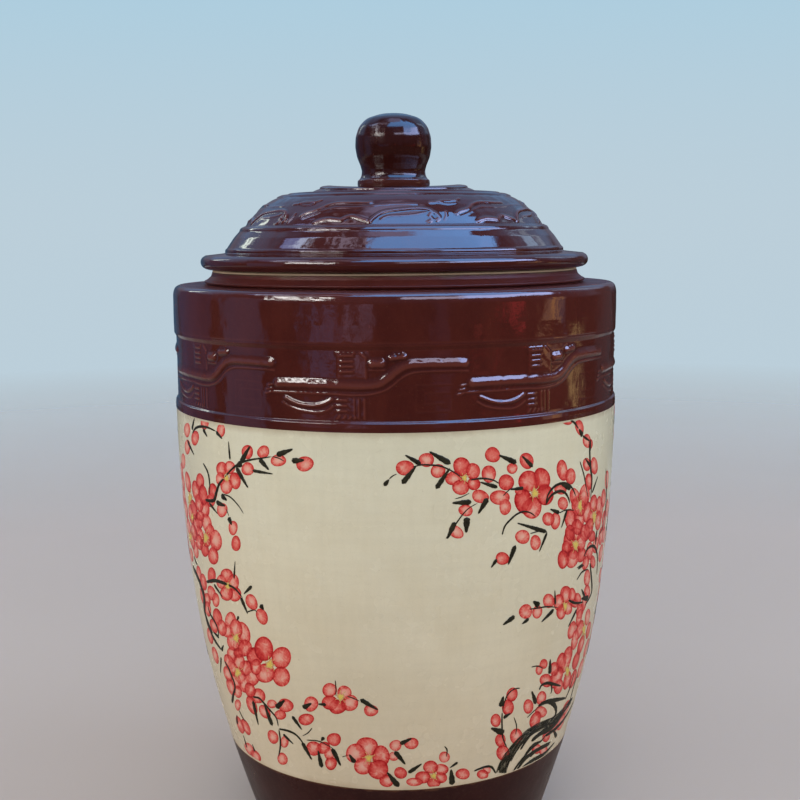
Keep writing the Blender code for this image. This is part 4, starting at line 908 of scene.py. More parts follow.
def make_lid():
    crown, dome, rib, panel, bead, face, seat, skirt, under = lid_rings()
    a = angles(1080)
    z = np.array([float(ring.z) for ring in dome])
    r = np.array([float(ring.r) for ring in dome])
    along = np.concatenate([[0], np.cumsum(np.hypot(np.diff(r), np.diff(z)))])
    along = (along[-1] - along) * 1000.0                      # mm up from the rib

    def across(height_mm):
        return float(np.interp(height_mm / 1000.0, z[::-1], along[::-1]))

    degrees, up = np.meshgrid(a, along)
    field = relief(degrees, up, across, LID, 6, 88.0)
    field = softened(field, 1)
    fade = np.clip(np.minimum(along - 0.3, along[0] - along - 0.1) / 1.0, 0, 1)[:, None]
    field = field * fade
    thin = np.clip(unsharp(field, 8) / 0.00017, -1, 1)
    slope_r, slope_z = np.gradient(r), np.gradient(z)
    size = np.hypot(slope_r, slope_z)
    out_r, out_z = -slope_z / size, slope_r / size            # outward normal of the profile
    dent = 0.00010 * (1 + wavy(GLAZE_WAVES, a[None, :], 3 * z[:, None]) / 2.0)
    for k, ring in enumerate(dome):
        high = field[k] - 0.0006 - np.clip(dent[k], 0, None)
        ring.r = r[k] + out_r[k] * high
        ring.z = z[k] + out_z[k] * high
        ring.values["thin"] = thin[k] * 0.8
    for ring in crown:
        lifted_edge(ring)
    for ring in rib[3:7]:
        ring.values["thin"] = 0.35
    for ring in panel + bead + face:
        uneven(ring, 0.00009, 0.00002)
    for ring in face[8:]:
        ring.values["thin"] = -0.2
    lid = turned_skin(
        "lid_skin", crown + dome + rib + panel + bead + face + seat + skirt + under,
        {BROWN: M_LID, CLAY: M_CLAY, INSIDE: M_LINING}, closed=True,
        shares={BROWN: 1.6, CLAY: 0.5, INSIDE: 0.4}, extra=("thin",))
    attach(lid, "lid")
    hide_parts("lid_shell")
    return lid


def make_knob():
    outer = [Ring(0.0, 0.4716, 1, BROWN)]
    outer += rings([(0.0020, 0.4716, 0), (0.0075, 0.4712, 0.006), (0.0090, 0.4709, 0)], 60, BROWN, 0.0015, 5)
    outer += rings([(0.0100, 0.4707, 0), (0.0178, 0.4683, 0.012), (0.0226, 0.4630, 0.012), (0.0247, 0.4565, 0.012),
                    (0.0251, 0.4500, 0.016), (0.0240, 0.4435, 0.016), (0.0218, 0.4382, 0.014), (0.0208, 0.4345, 0.006),
                    (0.0212, 0.4315, 0.006), (0.0222, 0.4296, 0.003), (0.0236, 0.4284, 0.0012), (0.0238, 0.4262, 0.004),
                    (0.0234, 0.4238, 0.0008), (0.0226, 0.42335, 0.0004), (0.0200, 0.42335, 0)],
                   120, BROWN, 0.0011, 7)
    inner = rings([(0.0185, 0.42335, 0), (0.0120, 0.42335, 0.0005), (0.0120, 0.4292, 0.002), (0.0144, 0.4370, 0.004),
                   (0.0186, 0.4510, 0.006), (0.0165, 0.4590, 0.004), (0.0105, 0.4635, 0.004), (0.0030, 0.4650, 0)],
                  60, CLAY, 0.003, 4)
    inner.append(Ring(0.0, 0.4651, 1, CLAY))
    for ring in outer[1:]:
        if np.mean(ring.z) > 0.4290:
            uneven(ring, 0.00010, 0.00002)
    for ring in outer:
        ring.values["thin"] = 0.55 if 0.4236 < float(np.mean(ring.z)) < 0.4294 else 0.0
    knob = turned_skin("knob_skin", outer + inner, {BROWN: M_KNOB, CLAY: M_CLAY},
                       shares={BROWN: 1.0, CLAY: 0.4}, extra=("thin",))
    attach(knob, "lid")
    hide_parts("lid_knob")
    return knob


jar_skin = make_jar()
lid_skin = make_lid()
knob_skin = make_knob()


# =====================================================================
# Painted blossoms
# =====================================================================
SKIN_SINK = 0.00022      # how far the cream skin lies under the belly's curve


def on_belly(degrees, mm, lift):
    """Points on the cream belly, lifted by this many metres."""
    z = np.asarray(mm, float) / 1000.0
    r = np.interp(z, BELLY_Z, BELLY_R) - SKIN_SINK + lift
    a = np.radians(degrees)
    return np.stack([r * np.sin(a), -r * np.cos(a), z], axis=-1)


def turn_per_mm(mm):
    return np.degrees(1.0 / (np.interp(np.asarray(mm, float) / 1000.0, BELLY_Z, BELLY_R) * 1000.0))


class Painted:
    """Many small closed patches of enamel in one mesh, each with its own square of the map."""

    def __init__(self):
        self.points, self.faces, self.uvs, self.cells = [], [], [], 0
        self.values = {}
        self.count = 0

    def add(self, points, faces, local, **values):
        self.points.append(np.asarray(points, float))
        self.faces += [[self.count + i for i in face] for face in faces]
        self.uvs.append((self.cells, np.asarray(local, float), faces))
        for key, value in values.items():
            self.values.setdefault(key, []).append(np.asarray(value, float))
        self.count += len(points)
        self.cells += 1

    def make(self, name, material):
        side = int(math.ceil(math.sqrt(self.cells)))
        mesh = bpy.data.meshes.new(name)
        mesh.from_pydata(np.concatenate(self.points).tolist(), [], self.faces)
        uv = []
        for cell, local, faces in self.uvs:
            corner = np.array([cell % side, cell // side], float)
            placed = (corner + 0.5 + 0.44 * np.clip(local, -1, 1)) / side
            for face in faces:
                uv += [placed[i] for i in face]
        layer = mesh.uv_layers.new(name="OFBake")
        layer.data.foreach_set("uv", np.array(uv, np.float32).ravel())
        for key, lists in self.values.items():
            value = np.concatenate(lists)
            if key == "paint":
                value = np.hstack([value, np.ones((len(value), 1))])
            kind, field = {"paint": ("FLOAT_COLOR", "color"), "spot": ("FLOAT_VECTOR", "vector")}.get(key, ("FLOAT", "value"))
            attribute = mesh.attributes.new(key, kind, "POINT")
            attribute.data.foreach_set(field, value.astype(np.float32).ravel())
        mesh.polygons.foreach_set("use_smooth", np.ones(len(self.faces), bool))
        mesh.materials.append(material)
        mesh.update()
        made = link(bpy.data.objects.new(name, mesh))
        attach(made, "jar")
        return made


def placed(group, turn=0.0, mirror=False, rise=0.0, only=None):
    """A copy of a painted group turned about the jar, mirrored, and raised."""
    flip = -1 if mirror else 1

    def at(a, z):
        return (flip * a + turn, z + rise)

    made = {"petals": [(*at(a, z), w, h, flip * tilt, s) for a, z, w, h, tilt, s in group["petals"]],
            "hearts": [(*at(a, z), w, h, flip * tilt) for a, z, w, h, tilt in group["hearts"]],
            "leaves": [(*at(a, z), *at(b, y), w) for a, z, b, y, w in group["leaves"]],
            "twigs": [(width, *[at(*p) for p in line]) for width, *line in group["twigs"]],
            "trunk": [(width, *[at(*p) for p in line]) for width, *line in group.get("trunk", ())]}
    if only:
        low, high = only
        for key in ("petals", "hearts", "leaves"):
            made[key] = [p for p in made[key] if low <= p[0] <= high]
        for key in ("twigs", "trunk"):
            made[key] = [p for p in made[key] if all(low <= q[0] <= high for q in p[1:])]
    return made


PETAL_TURNS = 26
PETAL_STEPS = (0.20, 0.40, 0.56, 0.70, 0.80, 0.88, 0.94, 0.975, 1.0)


def paint_blossoms(groups):
    petals = [p for g in groups for p in g["petals"]]
    hearts = [p for g in groups for p in g["hearts"]]
    pick = np.random.default_rng(19)
    shapes = []
    for a, z, w, h, tilt, s in petals:
        # petals close up round their flower's middle, and keep one size all round the jar
        side = min(max((90.0 - abs((a % 180.0) - 90.0) - 38.0) / 20.0, 0.0), 1.0) if hearts else 0.0
        near = min(hearts, key=lambda q: math.hypot(((a - q[0] + 180.0) % 360.0 - 180.0) / turn_per_mm(z), z - q[1]))
        da = (near[0] - a + 180.0) % 360.0 - 180.0
        grow = 1.0 + 0.06 * side
        if math.hypot(da / turn_per_mm(z), near[1] - z) < 11.0:
            a, z, grow = a + 0.07 * da, z + 0.07 * (near[1] - z), grow * 1.05
        most = 9.5 - 2.7 * side
        w, h = min(w * grow, most), min(h * grow, most)
        shapes.append({
            "a": a, "z": z, "w": w, "h": h, "cos": math.cos(math.radians(tilt)), "sin": math.sin(math.radians(tilt)),
            "lobes": (pick.uniform(0.01, 0.05), pick.uniform(0, 6.28), pick.uniform(0.01, 0.035), pick.uniform(0, 6.28)),
            "pale": pick.uniform(0.25, 0.75), "rim": pick.uniform(0.35, 0.75), "body": s * pick.uniform(0.78, 1.20),
            "side": pick.uniform(0, 6.28), "off": pick.uniform(0.10, 0.42),
        })
    centres = np.array([(q["a"], q["z"]) for q in shapes])

    def outline(shape, turn):
        l1, p1, l2, p2 = shape["lobes"]
        return 1.0 + l1 * np.sin(2 * turn + p1) + l2 * np.sin(3 * turn + p2)

    def reach_in(shape, degrees, mm):
        """Scaled distance from a petal's middle: 1 on its outline; and the direction."""
        dx = ((degrees - shape["a"] + 180.0) % 360.0 - 180.0) / turn_per_mm(shape["z"])
        dy = mm - shape["z"]
        u = (dx * shape["cos"] + dy * shape["sin"]) / shape["w"]
        v = (dy * shape["cos"] - dx * shape["sin"]) / shape["h"]
        turn = np.arctan2(v, u)
        return np.hypot(u, v) / outline(shape, turn), turn, u, v

    def wash_at(degrees, mm, mine):
        density = np.zeros(degrees.shape)
        away = np.abs((centres[:, 0] - mine["a"] + 180.0) % 360.0 - 180.0)
        for k in np.nonzero((away < 10.0) & (np.abs(centres[:, 1] - mine["z"]) < 20.0))[0]:
            shape = shapes[k]
            t, turn, u, v = reach_in(shape, degrees, mm)
            cover = np.clip((1.03 - t) / 0.055, 0, 1)
            inner = np.clip(t, 0, 1)
            wash = shape["body"] * (1.0 + inner * (0.08 * np.sin(9 * turn + shape["side"]) + 0.06 * np.sin(15 * turn - shape["side"])))
            rim = 0.0 if shape is mine else 2.2 * shape["rim"] * np.exp(-(((t - 0.92) / 0.10) ** 2))
            du, dv = u - shape["off"] * math.cos(shape["side"]), v - shape["off"] * math.sin(shape["side"])
            pale = shape["pale"] * np.exp(-((np.hypot(du, dv) / 0.52) ** 2))
            layer = cover * np.clip(wash + rim - pale, 0.12, None)
            density += layer if shape is mine else 0.30 * layer
        return np.minimum(density, 2.9)

    sheet = Painted()
    turns = np.arange(PETAL_TURNS) * 2 * math.pi / PETAL_TURNS
    for number, shape in enumerate(shapes):
        step = turn_per_mm(shape["z"])
        edge = outline(shape, turns)
        degrees, mm, local = [np.array([shape["a"]])], [np.array([shape["z"]])], [np.zeros((1, 2))]
        base = 0.00004 + 0.000010 * (number % 7)
        lifts = [base + 0.00003]
        for t in PETAL_STEPS:
            u, v = t * edge * shape["w"] * np.cos(turns), t * edge * shape["h"] * np.sin(turns)
            degrees.append(shape["a"] + (u * shape["cos"] - v * shape["sin"]) * step)
            mm.append(shape["z"] + u * shape["sin"] + v * shape["cos"])
            lifts += [base + 0.00003 * (1 - t * t) - (0.00006 if t >= 1.0 else 0.0)] * PETAL_TURNS
            local.append(np.stack([t * np.cos(turns), t * np.sin(turns)], axis=1) * 0.94)
        degrees, mm = np.concatenate(degrees), np.concatenate(mm)
        mm = np.clip(mm, FOOT_LINE * 1000 + 1.2, CREAM_LINE * 1000 - 1.2)
        points = on_belly(degrees, mm, np.array(lifts))
        under = on_belly(np.array([shape["a"]]), np.array([shape["z"]]), -0.00015)
        points = np.vstack([points, under])
        local = np.vstack(local + [np.zeros((1, 2))])
        wash = wash_at(degrees, mm, shape)
        wash = np.concatenate([wash, wash[:1]])
        spot = np.hstack([local / 0.94, np.full((len(local), 1), 3.7 * number)])
        faces = [[0, 1 + k, 1 + (k + 1) % PETAL_TURNS] for k in range(PETAL_TURNS)]
        for ring in range(len(PETAL_STEPS) - 1):
            o = 1 + ring * PETAL_TURNS
            faces += [[o + k, o + PETAL_TURNS + k, o + PETAL_TURNS + (k + 1) % PETAL_TURNS, o + (k + 1) % PETAL_TURNS]
                      for k in range(PETAL_TURNS)]
        o = 1 + (len(PETAL_STEPS) - 1) * PETAL_TURNS
        last = len(points) - 1
        faces += [[o + (k + 1) % PETAL_TURNS, o + k, last] for k in range(PETAL_TURNS)]
        sheet.add(points, faces, local, wash=wash, spot=spot)
    sheet.make("blossom_petals", M_PETAL)

    dots = Painted()
    turns = np.arange(18) * 2 * math.pi / 18
    for a, z, w, h, tilt in hearts:
        step = turn_per_mm(z)
        c, s = math.cos(math.radians(tilt)), math.sin(math.radians(tilt))
        phase = pick.uniform(0, 6.28, 3)
        w, h = 0.86 * w, 0.86 * h
        degrees, mm, lifts, local, paint = [a], [z], [0.00026], [(0, 0)], [(0.68, 0.54, 0.10)]
        for t in (0.28, 0.5, 0.68, 0.82, 0.93, 1.0):
            wobble = 1 + 0.16 * np.sin(3 * turns + phase[0]) + 0.12 * np.sin(5 * turns + phase[1]) + 0.07 * np.sin(8 * turns + phase[2])
            lump = 0.00004 * np.sin(9 * turns + phase[2]) * (t < 0.9)
            u, v = t * w * wobble * np.cos(turns), t * h * wobble * np.sin(turns)
            degrees += list(a + (u * c - v * s) * step)
            mm += list(z + u * s + v * c)
            lifts += list(np.full(18, 0.00024 - 0.00008 * t * t - (0.00016 if t >= 1.0 else 0.0)) + lump)
            local += list(zip(t * np.cos(turns) * 0.94, t * np.sin(turns) * 0.94))
            ring = np.array([0.56, 0.24, 0.11]) if t > 0.88 else np.array([0.58, 0.38, 0.14]) if t > 0.6 else np.array([0.66, 0.50, 0.10])
            shade = (0.88 + 0.24 * (np.sin(9 * turns + phase[2]) > 0))[:, None]
            paint += list(ring[None, :] * shade)
        points = on_belly(np.array(degrees), np.array(mm), np.array(lifts))
        points = np.vstack([points, on_belly(np.array([a]), np.array([z]), -0.0001)])
        faces = [[0, 1 + k, 1 + (k + 1) % 18] for k in range(18)]
        for ring in range(5):
            o = 1 + ring * 18
            faces += [[o + k, o + 18 + k, o + 18 + (k + 1) % 18, o + (k + 1) % 18] for k in range(18)]
        o = 1 + 5 * 18
        faces += [[o + (k + 1) % 18, o + k, len(points) - 1] for k in range(18)]
        dots.add(points, faces, np.array(local + [(0, 0)]), paint=np.array(paint + [paint[0]]))
        # stamens: thin dabs out over the petals
        for k in range(7):
            turn = 2 * math.pi * k / 7 + phase[0] + pick.uniform(-0.2, 0.2)
            near, far = pick.uniform(0.75, 0.95), pick.uniform(1.45, 2.05)
            line = []
            for t in (near, (near + far) / 2, far):
                bend = turn + 0.10 * math.sin(phase[1] + 3 * t)
                u, v = t * w * math.cos(bend), t * h * math.sin(bend)
                line.append((a + (u * c - v * s) * step, z + u * s + v * c))
            stroke(dots, line, lambda t: 0.15 + 0.17 * t * t, 0.00020, 400 + dots.cells, per=3, paint=(0.60, 0.36, 0.13))
    dots.make("blossom_hearts", M_HEART)


def stroke(sheet, line, width, lift, seed, per=7, smooth=True, paint=(0.02, 0.02, 0.016)):
    """One brush stroke: a low closed ridge of ink along the line of (degrees, mm).  width(t) is half its width in mm."""
    raw = [np.array(p, float) for p in line]
    if smooth and len(raw) > 2:
        pts = smoothed(raw, per)
    else:
        count = max(6, int(np.hypot((raw[1][0] - raw[0][0]) * 2.4, raw[1][1] - raw[0][1]) / 0.8))
        pts = []
        for a, b in zip(raw[:-1], raw[1:]):
            pts += [a + (b - a) * k / count for k in range(count)]
        pts.append(raw[-1])
    pts = np.array(pts)
    mm_per_deg = 1.0 / turn_per_mm(pts[:, 1])
    flat = np.stack([pts[:, 0] * mm_per_deg, pts[:, 1]], axis=1)
    along = np.gradient(flat, axis=0)
    size = np.maximum(np.linalg.norm(along, axis=1, keepdims=True), 1e-6)
    along = along / size
    side = np.stack([-along[:, 1], along[:, 0]], axis=1)
    run = np.concatenate([[0], np.cumsum(np.linalg.norm(np.diff(flat, axis=0), axis=1))])
    t = run / run[-1]
    pick = np.random.default_rng(seed)
    p1, p2 = pick.uniform(0, 6.28, 2)
    half = np.array([width(v) for v in t]) * (1 + 0.07 * np.sin(run * 1.7 + p1) + 0.05 * np.sin(run * 3.9 + p2))
    # the line's two ends are closed by a point each
    body = slice(1, -1)
    across = np.array([-1.0, -0.6, 0.0, 0.6, 1.0])
    high = np.array([-0.00005, 0.00003, 0.00006, 0.00003, -0.00005])
    points, local = [], []
    for k in range(len(pts)):
        if k in (0, len(pts) - 1):
            continue
        for c, h in zip(across, high):
            off = side[k] * half[k] * c
            degrees = pts[k, 0] + off[0] / mm_per_deg[k]
            mm = pts[k, 1] + off[1]
            points.append((degrees, mm, lift + h))
            local.append((2 * t[k] - 1, 0.5 * c))
        points.append((pts[k, 0], pts[k, 1], -0.0001))
        local.append((2 * t[k] - 1, 0.55))
    rows = len(pts) - 2
    for k in (0, len(pts) - 1):
        points.append((pts[k, 0], pts[k, 1], lift * 0.5))
        local.append((2 * t[k] - 1, 0.0))
    points = np.array(points)
    points[:, 1] = np.clip(points[:, 1], FOOT_LINE * 1000 + 0.6, CREAM_LINE * 1000 - 0.5)
    placed_points = on_belly(points[:, 0], points[:, 1], points[:, 2])
    faces = []
    for k in range(rows - 1):
        o = 6 * k
        for c in range(4):
            faces.append([o + c, o + 6 + c, o + 7 + c, o + c + 1])
        faces.append([o + 4, o + 10, o + 11, o + 5])
        faces.append([o + 5, o + 11, o + 6, o])
    first, last = 6 * rows, 6 * rows + 1
    ring = [0, 1, 2, 3, 4, 5]
    for c in range(6):
        faces.append([first, ring[c], ring[(c + 1) % 6]])
    o = 6 * (rows - 1)
    for c in range(6):
        faces.append([last, o + ring[(c + 1) % 6], o + ring[c]])
    sheet.add(placed_points, faces, np.array(local), paint=np.tile(paint, (len(points), 1)))


def leaf_width(half):
    half = 1.22 * half
    return lambda t: half * min(1.0, 0.30 + 1.15 * t) * min(1.0, max(0.25, (1.0 - t) / 0.10)) if t < 0.999 else half * 0.3


def twig_width(half):
    return lambda t: half * (0.72 + 0.45 * math.sin(math.pi * min(1.0, t * 1.1 + 0.05))) * min(1.0, max(0.3, (1.0 - t) / 0.08))


def paint_ink(groups):
    sheet = Painted()
    seed = 100
    for g in groups:
        for a, z, b, y, w in g["leaves"]:
            seed += 1
            stroke(sheet, [(a, z), (b, y)], leaf_width(w), 0.00020, seed, smooth=False)
        for width, *line in g["twigs"]:
            seed += 1
            away = abs((line[0][0] % 180.0) - 90.0)
            side = min(max((55.0 - away) / 30.0, 0.0), 1.0) if away > 16.0 else 0.0
            stroke(sheet, line, twig_width(width * (1.10 + 1.25 * side)), 0.00017, seed, smooth=len(line) > 2)
        for width, *line in g["trunk"]:
            # a dry brush: bristle lines side by side, with gaps of bare slip between them
            width = 1.75 * width
            pick = np.random.default_rng(seed)
            count = 3 + int(1.6 * width)
            for off in np.linspace(-0.86, 0.86, count):
                seed += 1
                start, end = pick.uniform(0.0, 0.10), pick.uniform(0.84, 1.0)
                pts = np.array(smoothed(line, 6))
                scale = 1.0 / turn_per_mm(pts[:, 1])
                flat = np.stack([pts[:, 0] * scale, pts[:, 1]], axis=1)
                along = np.gradient(flat, axis=0)
                along /= np.maximum(np.linalg.norm(along, axis=1, keepdims=True), 1e-6)
                t = np.linspace(0, 1, len(pts))
                spread = off * width * (1.0 - 0.20 * t) + 0.14 * np.sin(9 * t + seed)
                flat = flat + np.stack([-along[:, 1], along[:, 0]], axis=1) * spread[:, None]
                keep = (t >= start) & (t <= end)
                bristle = [(x / s, y) for (x, y), s in zip(flat[keep], scale[keep])]
                thick = width / count * pick.uniform(0.72, 1.12)
                stroke(sheet, bristle[::2] + bristle[-1:], lambda v, w=thick: w * min(1.0, max(0.3, (1 - v) / 0.15)) * (0.85 + 0.25 * math.sin(11 * v + w * 30)),
                       0.00018, seed, per=4)
    sheet.make("ink_strokes", M_INK)


def sprig(a, z, lean=1.0, flowers=1):
    """A small invented sprig: a twig with an open blossom, buds and leaves."""
    step = float(turn_per_mm(z))
    petals, hearts, leaves, twigs = [], [], [], []
    line = [(a - 13 * step * lean, z + 20), (a - 7 * step * lean, z + 11), (a, z), (a + 4 * step * lean, z - 12), (a + 3 * step * lean, z - 24)]
    twigs.append((0.6, *line))
    for k in range(5):
        turn = math.radians(90 + 72 * k + 14 * lean)
        petals.append((a + 4.6 * step * math.cos(turn), z + 4.4 * math.sin(turn), 4.9, 4.3, math.degrees(turn), 1.0))
    hearts.append((a, z, 2.1, 1.9, 0.0))
    for dx, dy, w in ((-13, 19, 3.6), (-9.5, 15, 3.0), (5, -15, 3.3), (1.5, -21, 3.1), (6.5, -25, 2.8), (-6, 3.5, 3.0)):
        petals.append((a + dx * step * lean, z + dy, w * 1.12, w, 70.0 * lean, 0.95))
    for x0, y0, x1, y1, w in ((-7, 12, -1, 16, 1.0), (4, -9, 10, -14, 1.05), (3, -17, -4, -23, 1.0), (-11, 14, -16, 8, 0.95)):
        leaves.append((a + x0 * step * lean, z + y0, a + x1 * step * lean, z + y1, w))
    return {"petals": petals, "hearts": hearts, "leaves": leaves, "twigs": twigs, "trunk": []}


def all_groups():
    made = [placed(PAINTING[name]) for name in ("right_top", "left_top", "left_low", "right_low")]
    made += [placed(PAINTING["right_top"], 180.0, True), placed(PAINTING["left_top"], 180.0, True),
             placed(PAINTING["left_low"], 180.0, True, only=(-360, 246)), placed(PAINTING["right_low"], 180.0, True)]
    for a, z, lean in ((84, 262, 1), (96, 232, -1), (80, 214, -1), (92, 178, 1), (79, 158, -1), (98, 132, -1), (82, 108, 1),
                       (-88, 258, -1), (-92, 216, 1), (-84, 178, -1), (-93, 142, 1), (-85, 108, -1)):
        made.append(sprig(a, z, lean))
    return made


groups = all_groups()
paint_blossoms(groups)
paint_ink(groups)


# =====================================================================
# Floor, light and camera
# =====================================================================
PALE = (0.500, 0.620, 0.700)


def plain_floor():
    """A pale round sheet; its rim fades into the studio's background."""
    mesh = bpy.data.meshes.new("studio_floor")
    points, faces = [(0.0, 0.0, 0.0)], []
    radii = (0.3, 0.8, 1.4, 2.0, 2.6, 3.2)
    for r in radii:
        points += [(r * math.cos(math.radians(5 * k)), r * math.sin(math.radians(5 * k)), 0.0) for k in range(72)]
    faces += [(0, 1 + k, 1 + (k + 1) % 72) for k in range(72)]
    for row in range(len(radii) - 1):
        o = 1 + 72 * row
        faces += [(o + k, o + 72 + k, o + 72 + (k + 1) % 72, o + (k + 1) % 72) for k in range(72)]
    mesh.from_pydata(points, [], faces)
    n = Nodes("floor_pale")
    cloud = n.span(n.noise(1.4, 2.0, 0.5), 0.3, 0.7)
    colour = n.mix(cloud, (0.480, 0.430, 0.395), (0.510, 0.460, 0.425))
    n.finish(colour, 0.9)
    length = n.new("ShaderNodeVectorMath", operation="LENGTH")
    n.join(n.place, length.inputs[0])
    n.join(n.span(length.outputs["Value"], 0.9, 3.0, 1.0, 0.0), n.shader.inputs["Alpha"])
    mesh.materials.append(n.material)
    floor = link(bpy.data.objects.new("studio_floor", mesh))
    floor.visible_glossy = False
    return floor


def soft_lamp(name, place, width, height, colour, radiance, target=(0.0, 0.0, 0.22)):
    """A large soft lamp.  It lights the surfaces; what the glaze mirrors is the studio's own wall of panels."""
    data = bpy.data.lights.new(name, "AREA")
    data.shape = "RECTANGLE"
    data.size, data.size_y = width, height
    data.color = colour
    data.energy = radiance * math.pi * width * height
    lamp = link(bpy.data.objects.new(name, data))
    lamp.location = Vector(place)
    lamp.rotation_euler = (Vector(place) - Vector(target)).to_track_quat("Z", "Y").to_euler()
    lamp.visible_glossy = False
    lamp.visible_camera = False
    return lamp


# What the glaze mirrors, as patches of a round studio wall.  Degrees: azimuth of the middle (0 towards the viewer,
# growing to the viewer's right), elevation, half width, half height, lean, softness; then colour, brightness,
# how ragged the edge is in degrees, and 1 for a patch broken up into flecks
PATCHES = (
    ((36.0, 64.0, 67.0, 16.0, 0.0, 4.0), (0.16, 0.46, 1.00), 8.2, 6.0, 0),
    ((68.0, 42.0, 28.0, 9.0, 0.0, 4.0), (0.19, 0.47, 1.00), 8.4, 6.0, 0),
    ((64.0, 29.0, 30.0, 7.0, 0.0, 3.0), (0.44, 0.56, 1.00), 13.0, 4.0, 0),
    ((19.0, 29.0, 17.0, 4.5, 0.0, 3.0), (0.72, 0.72, 1.00), 6.5, 4.0, 0),
    ((-68.0, 43.0, 22.0, 8.0, 0.0, 4.0), (0.80, 0.80, 1.00), 7.5, 18.0, 1),
    ((-60.0, 63.5, 30.0, 7.0, 0.0, 3.0), (0.74, 0.66, 0.90), 3.0, 14.0, 1),
    ((-51.0, 26.0, 17.0, 9.0, 0.0, 3.0), (1.00, 0.98, 0.95), 19.0, 13.0, 1),
    ((-99.0, 50.0, 3.6, 9.0, 0.3, 2.5), (0.34, 0.48, 1.00), 3.9, 2.0, 0),
    ((-92.5, 52.0, 3.4, 8.0, 0.3, 2.0), (0.60, 0.72, 1.00), 8.0, 3.0, 0),
    ((-137.5, 24.0, 1.7, 7.0, 0.25, 1.5), (0.88, 1.00, 0.92), 5.5, 1.0, 0),
    ((126.0, 33.0, 3.2, 9.0, -0.2, 2.0), (0.45, 0.70, 1.00), 2.8, 2.0, 0),
    ((135.5, 27.0, 2.2, 9.0, -0.2, 2.0), (0.55, 0.76, 1.00), 1.5, 2.0, 0),
    ((-124.0, 0.0, 19.0, 16.0, 0.0, 3.0), (0.25, 0.48, 1.00), 0.18, 4.0, 0),
    ((-157.0, 0.0, 12.0, 8.0, 0.0, 4.0), (0.20, 0.58, 1.00), 0.20, 4.0, 0),
    ((-82.0, 0.0, 13.0, 18.0, 0.0, 2.5), (0.34, 0.54, 1.00), 0.42, 4.0, 0),
    ((-35.0, -3.0, 10.0, 4.0, 0.0, 3.0), (0.30, 0.48, 1.00), 0.70, 16.0, 1),
    ((-18.0, -3.0, 7.0, 4.5, 0.0, 3.0), (0.75, 0.62, 1.00), 0.90, 12.0, 1),
    ((22.0, -2.0, 4.0, 6.0, 0.0, 2.5), (0.62, 0.55, 1.00), 0.16, 5.0, 0),
    ((56.0, -3.6, 11.0, 1.1, 0.0, 0.8), (1.00, 0.07, 0.09), 2.0, 5.0, 1),
    ((47.0, -6.4, 8.0, 0.5, 0.0, 0.6), (1.00, 0.16, 0.14), 0.9, 4.0, 1),
    ((138.0, 0.0, 13.0, 16.0, 0.0, 5.0), (0.60, 0.66, 0.80), 0.10, 6.0, 0),
)


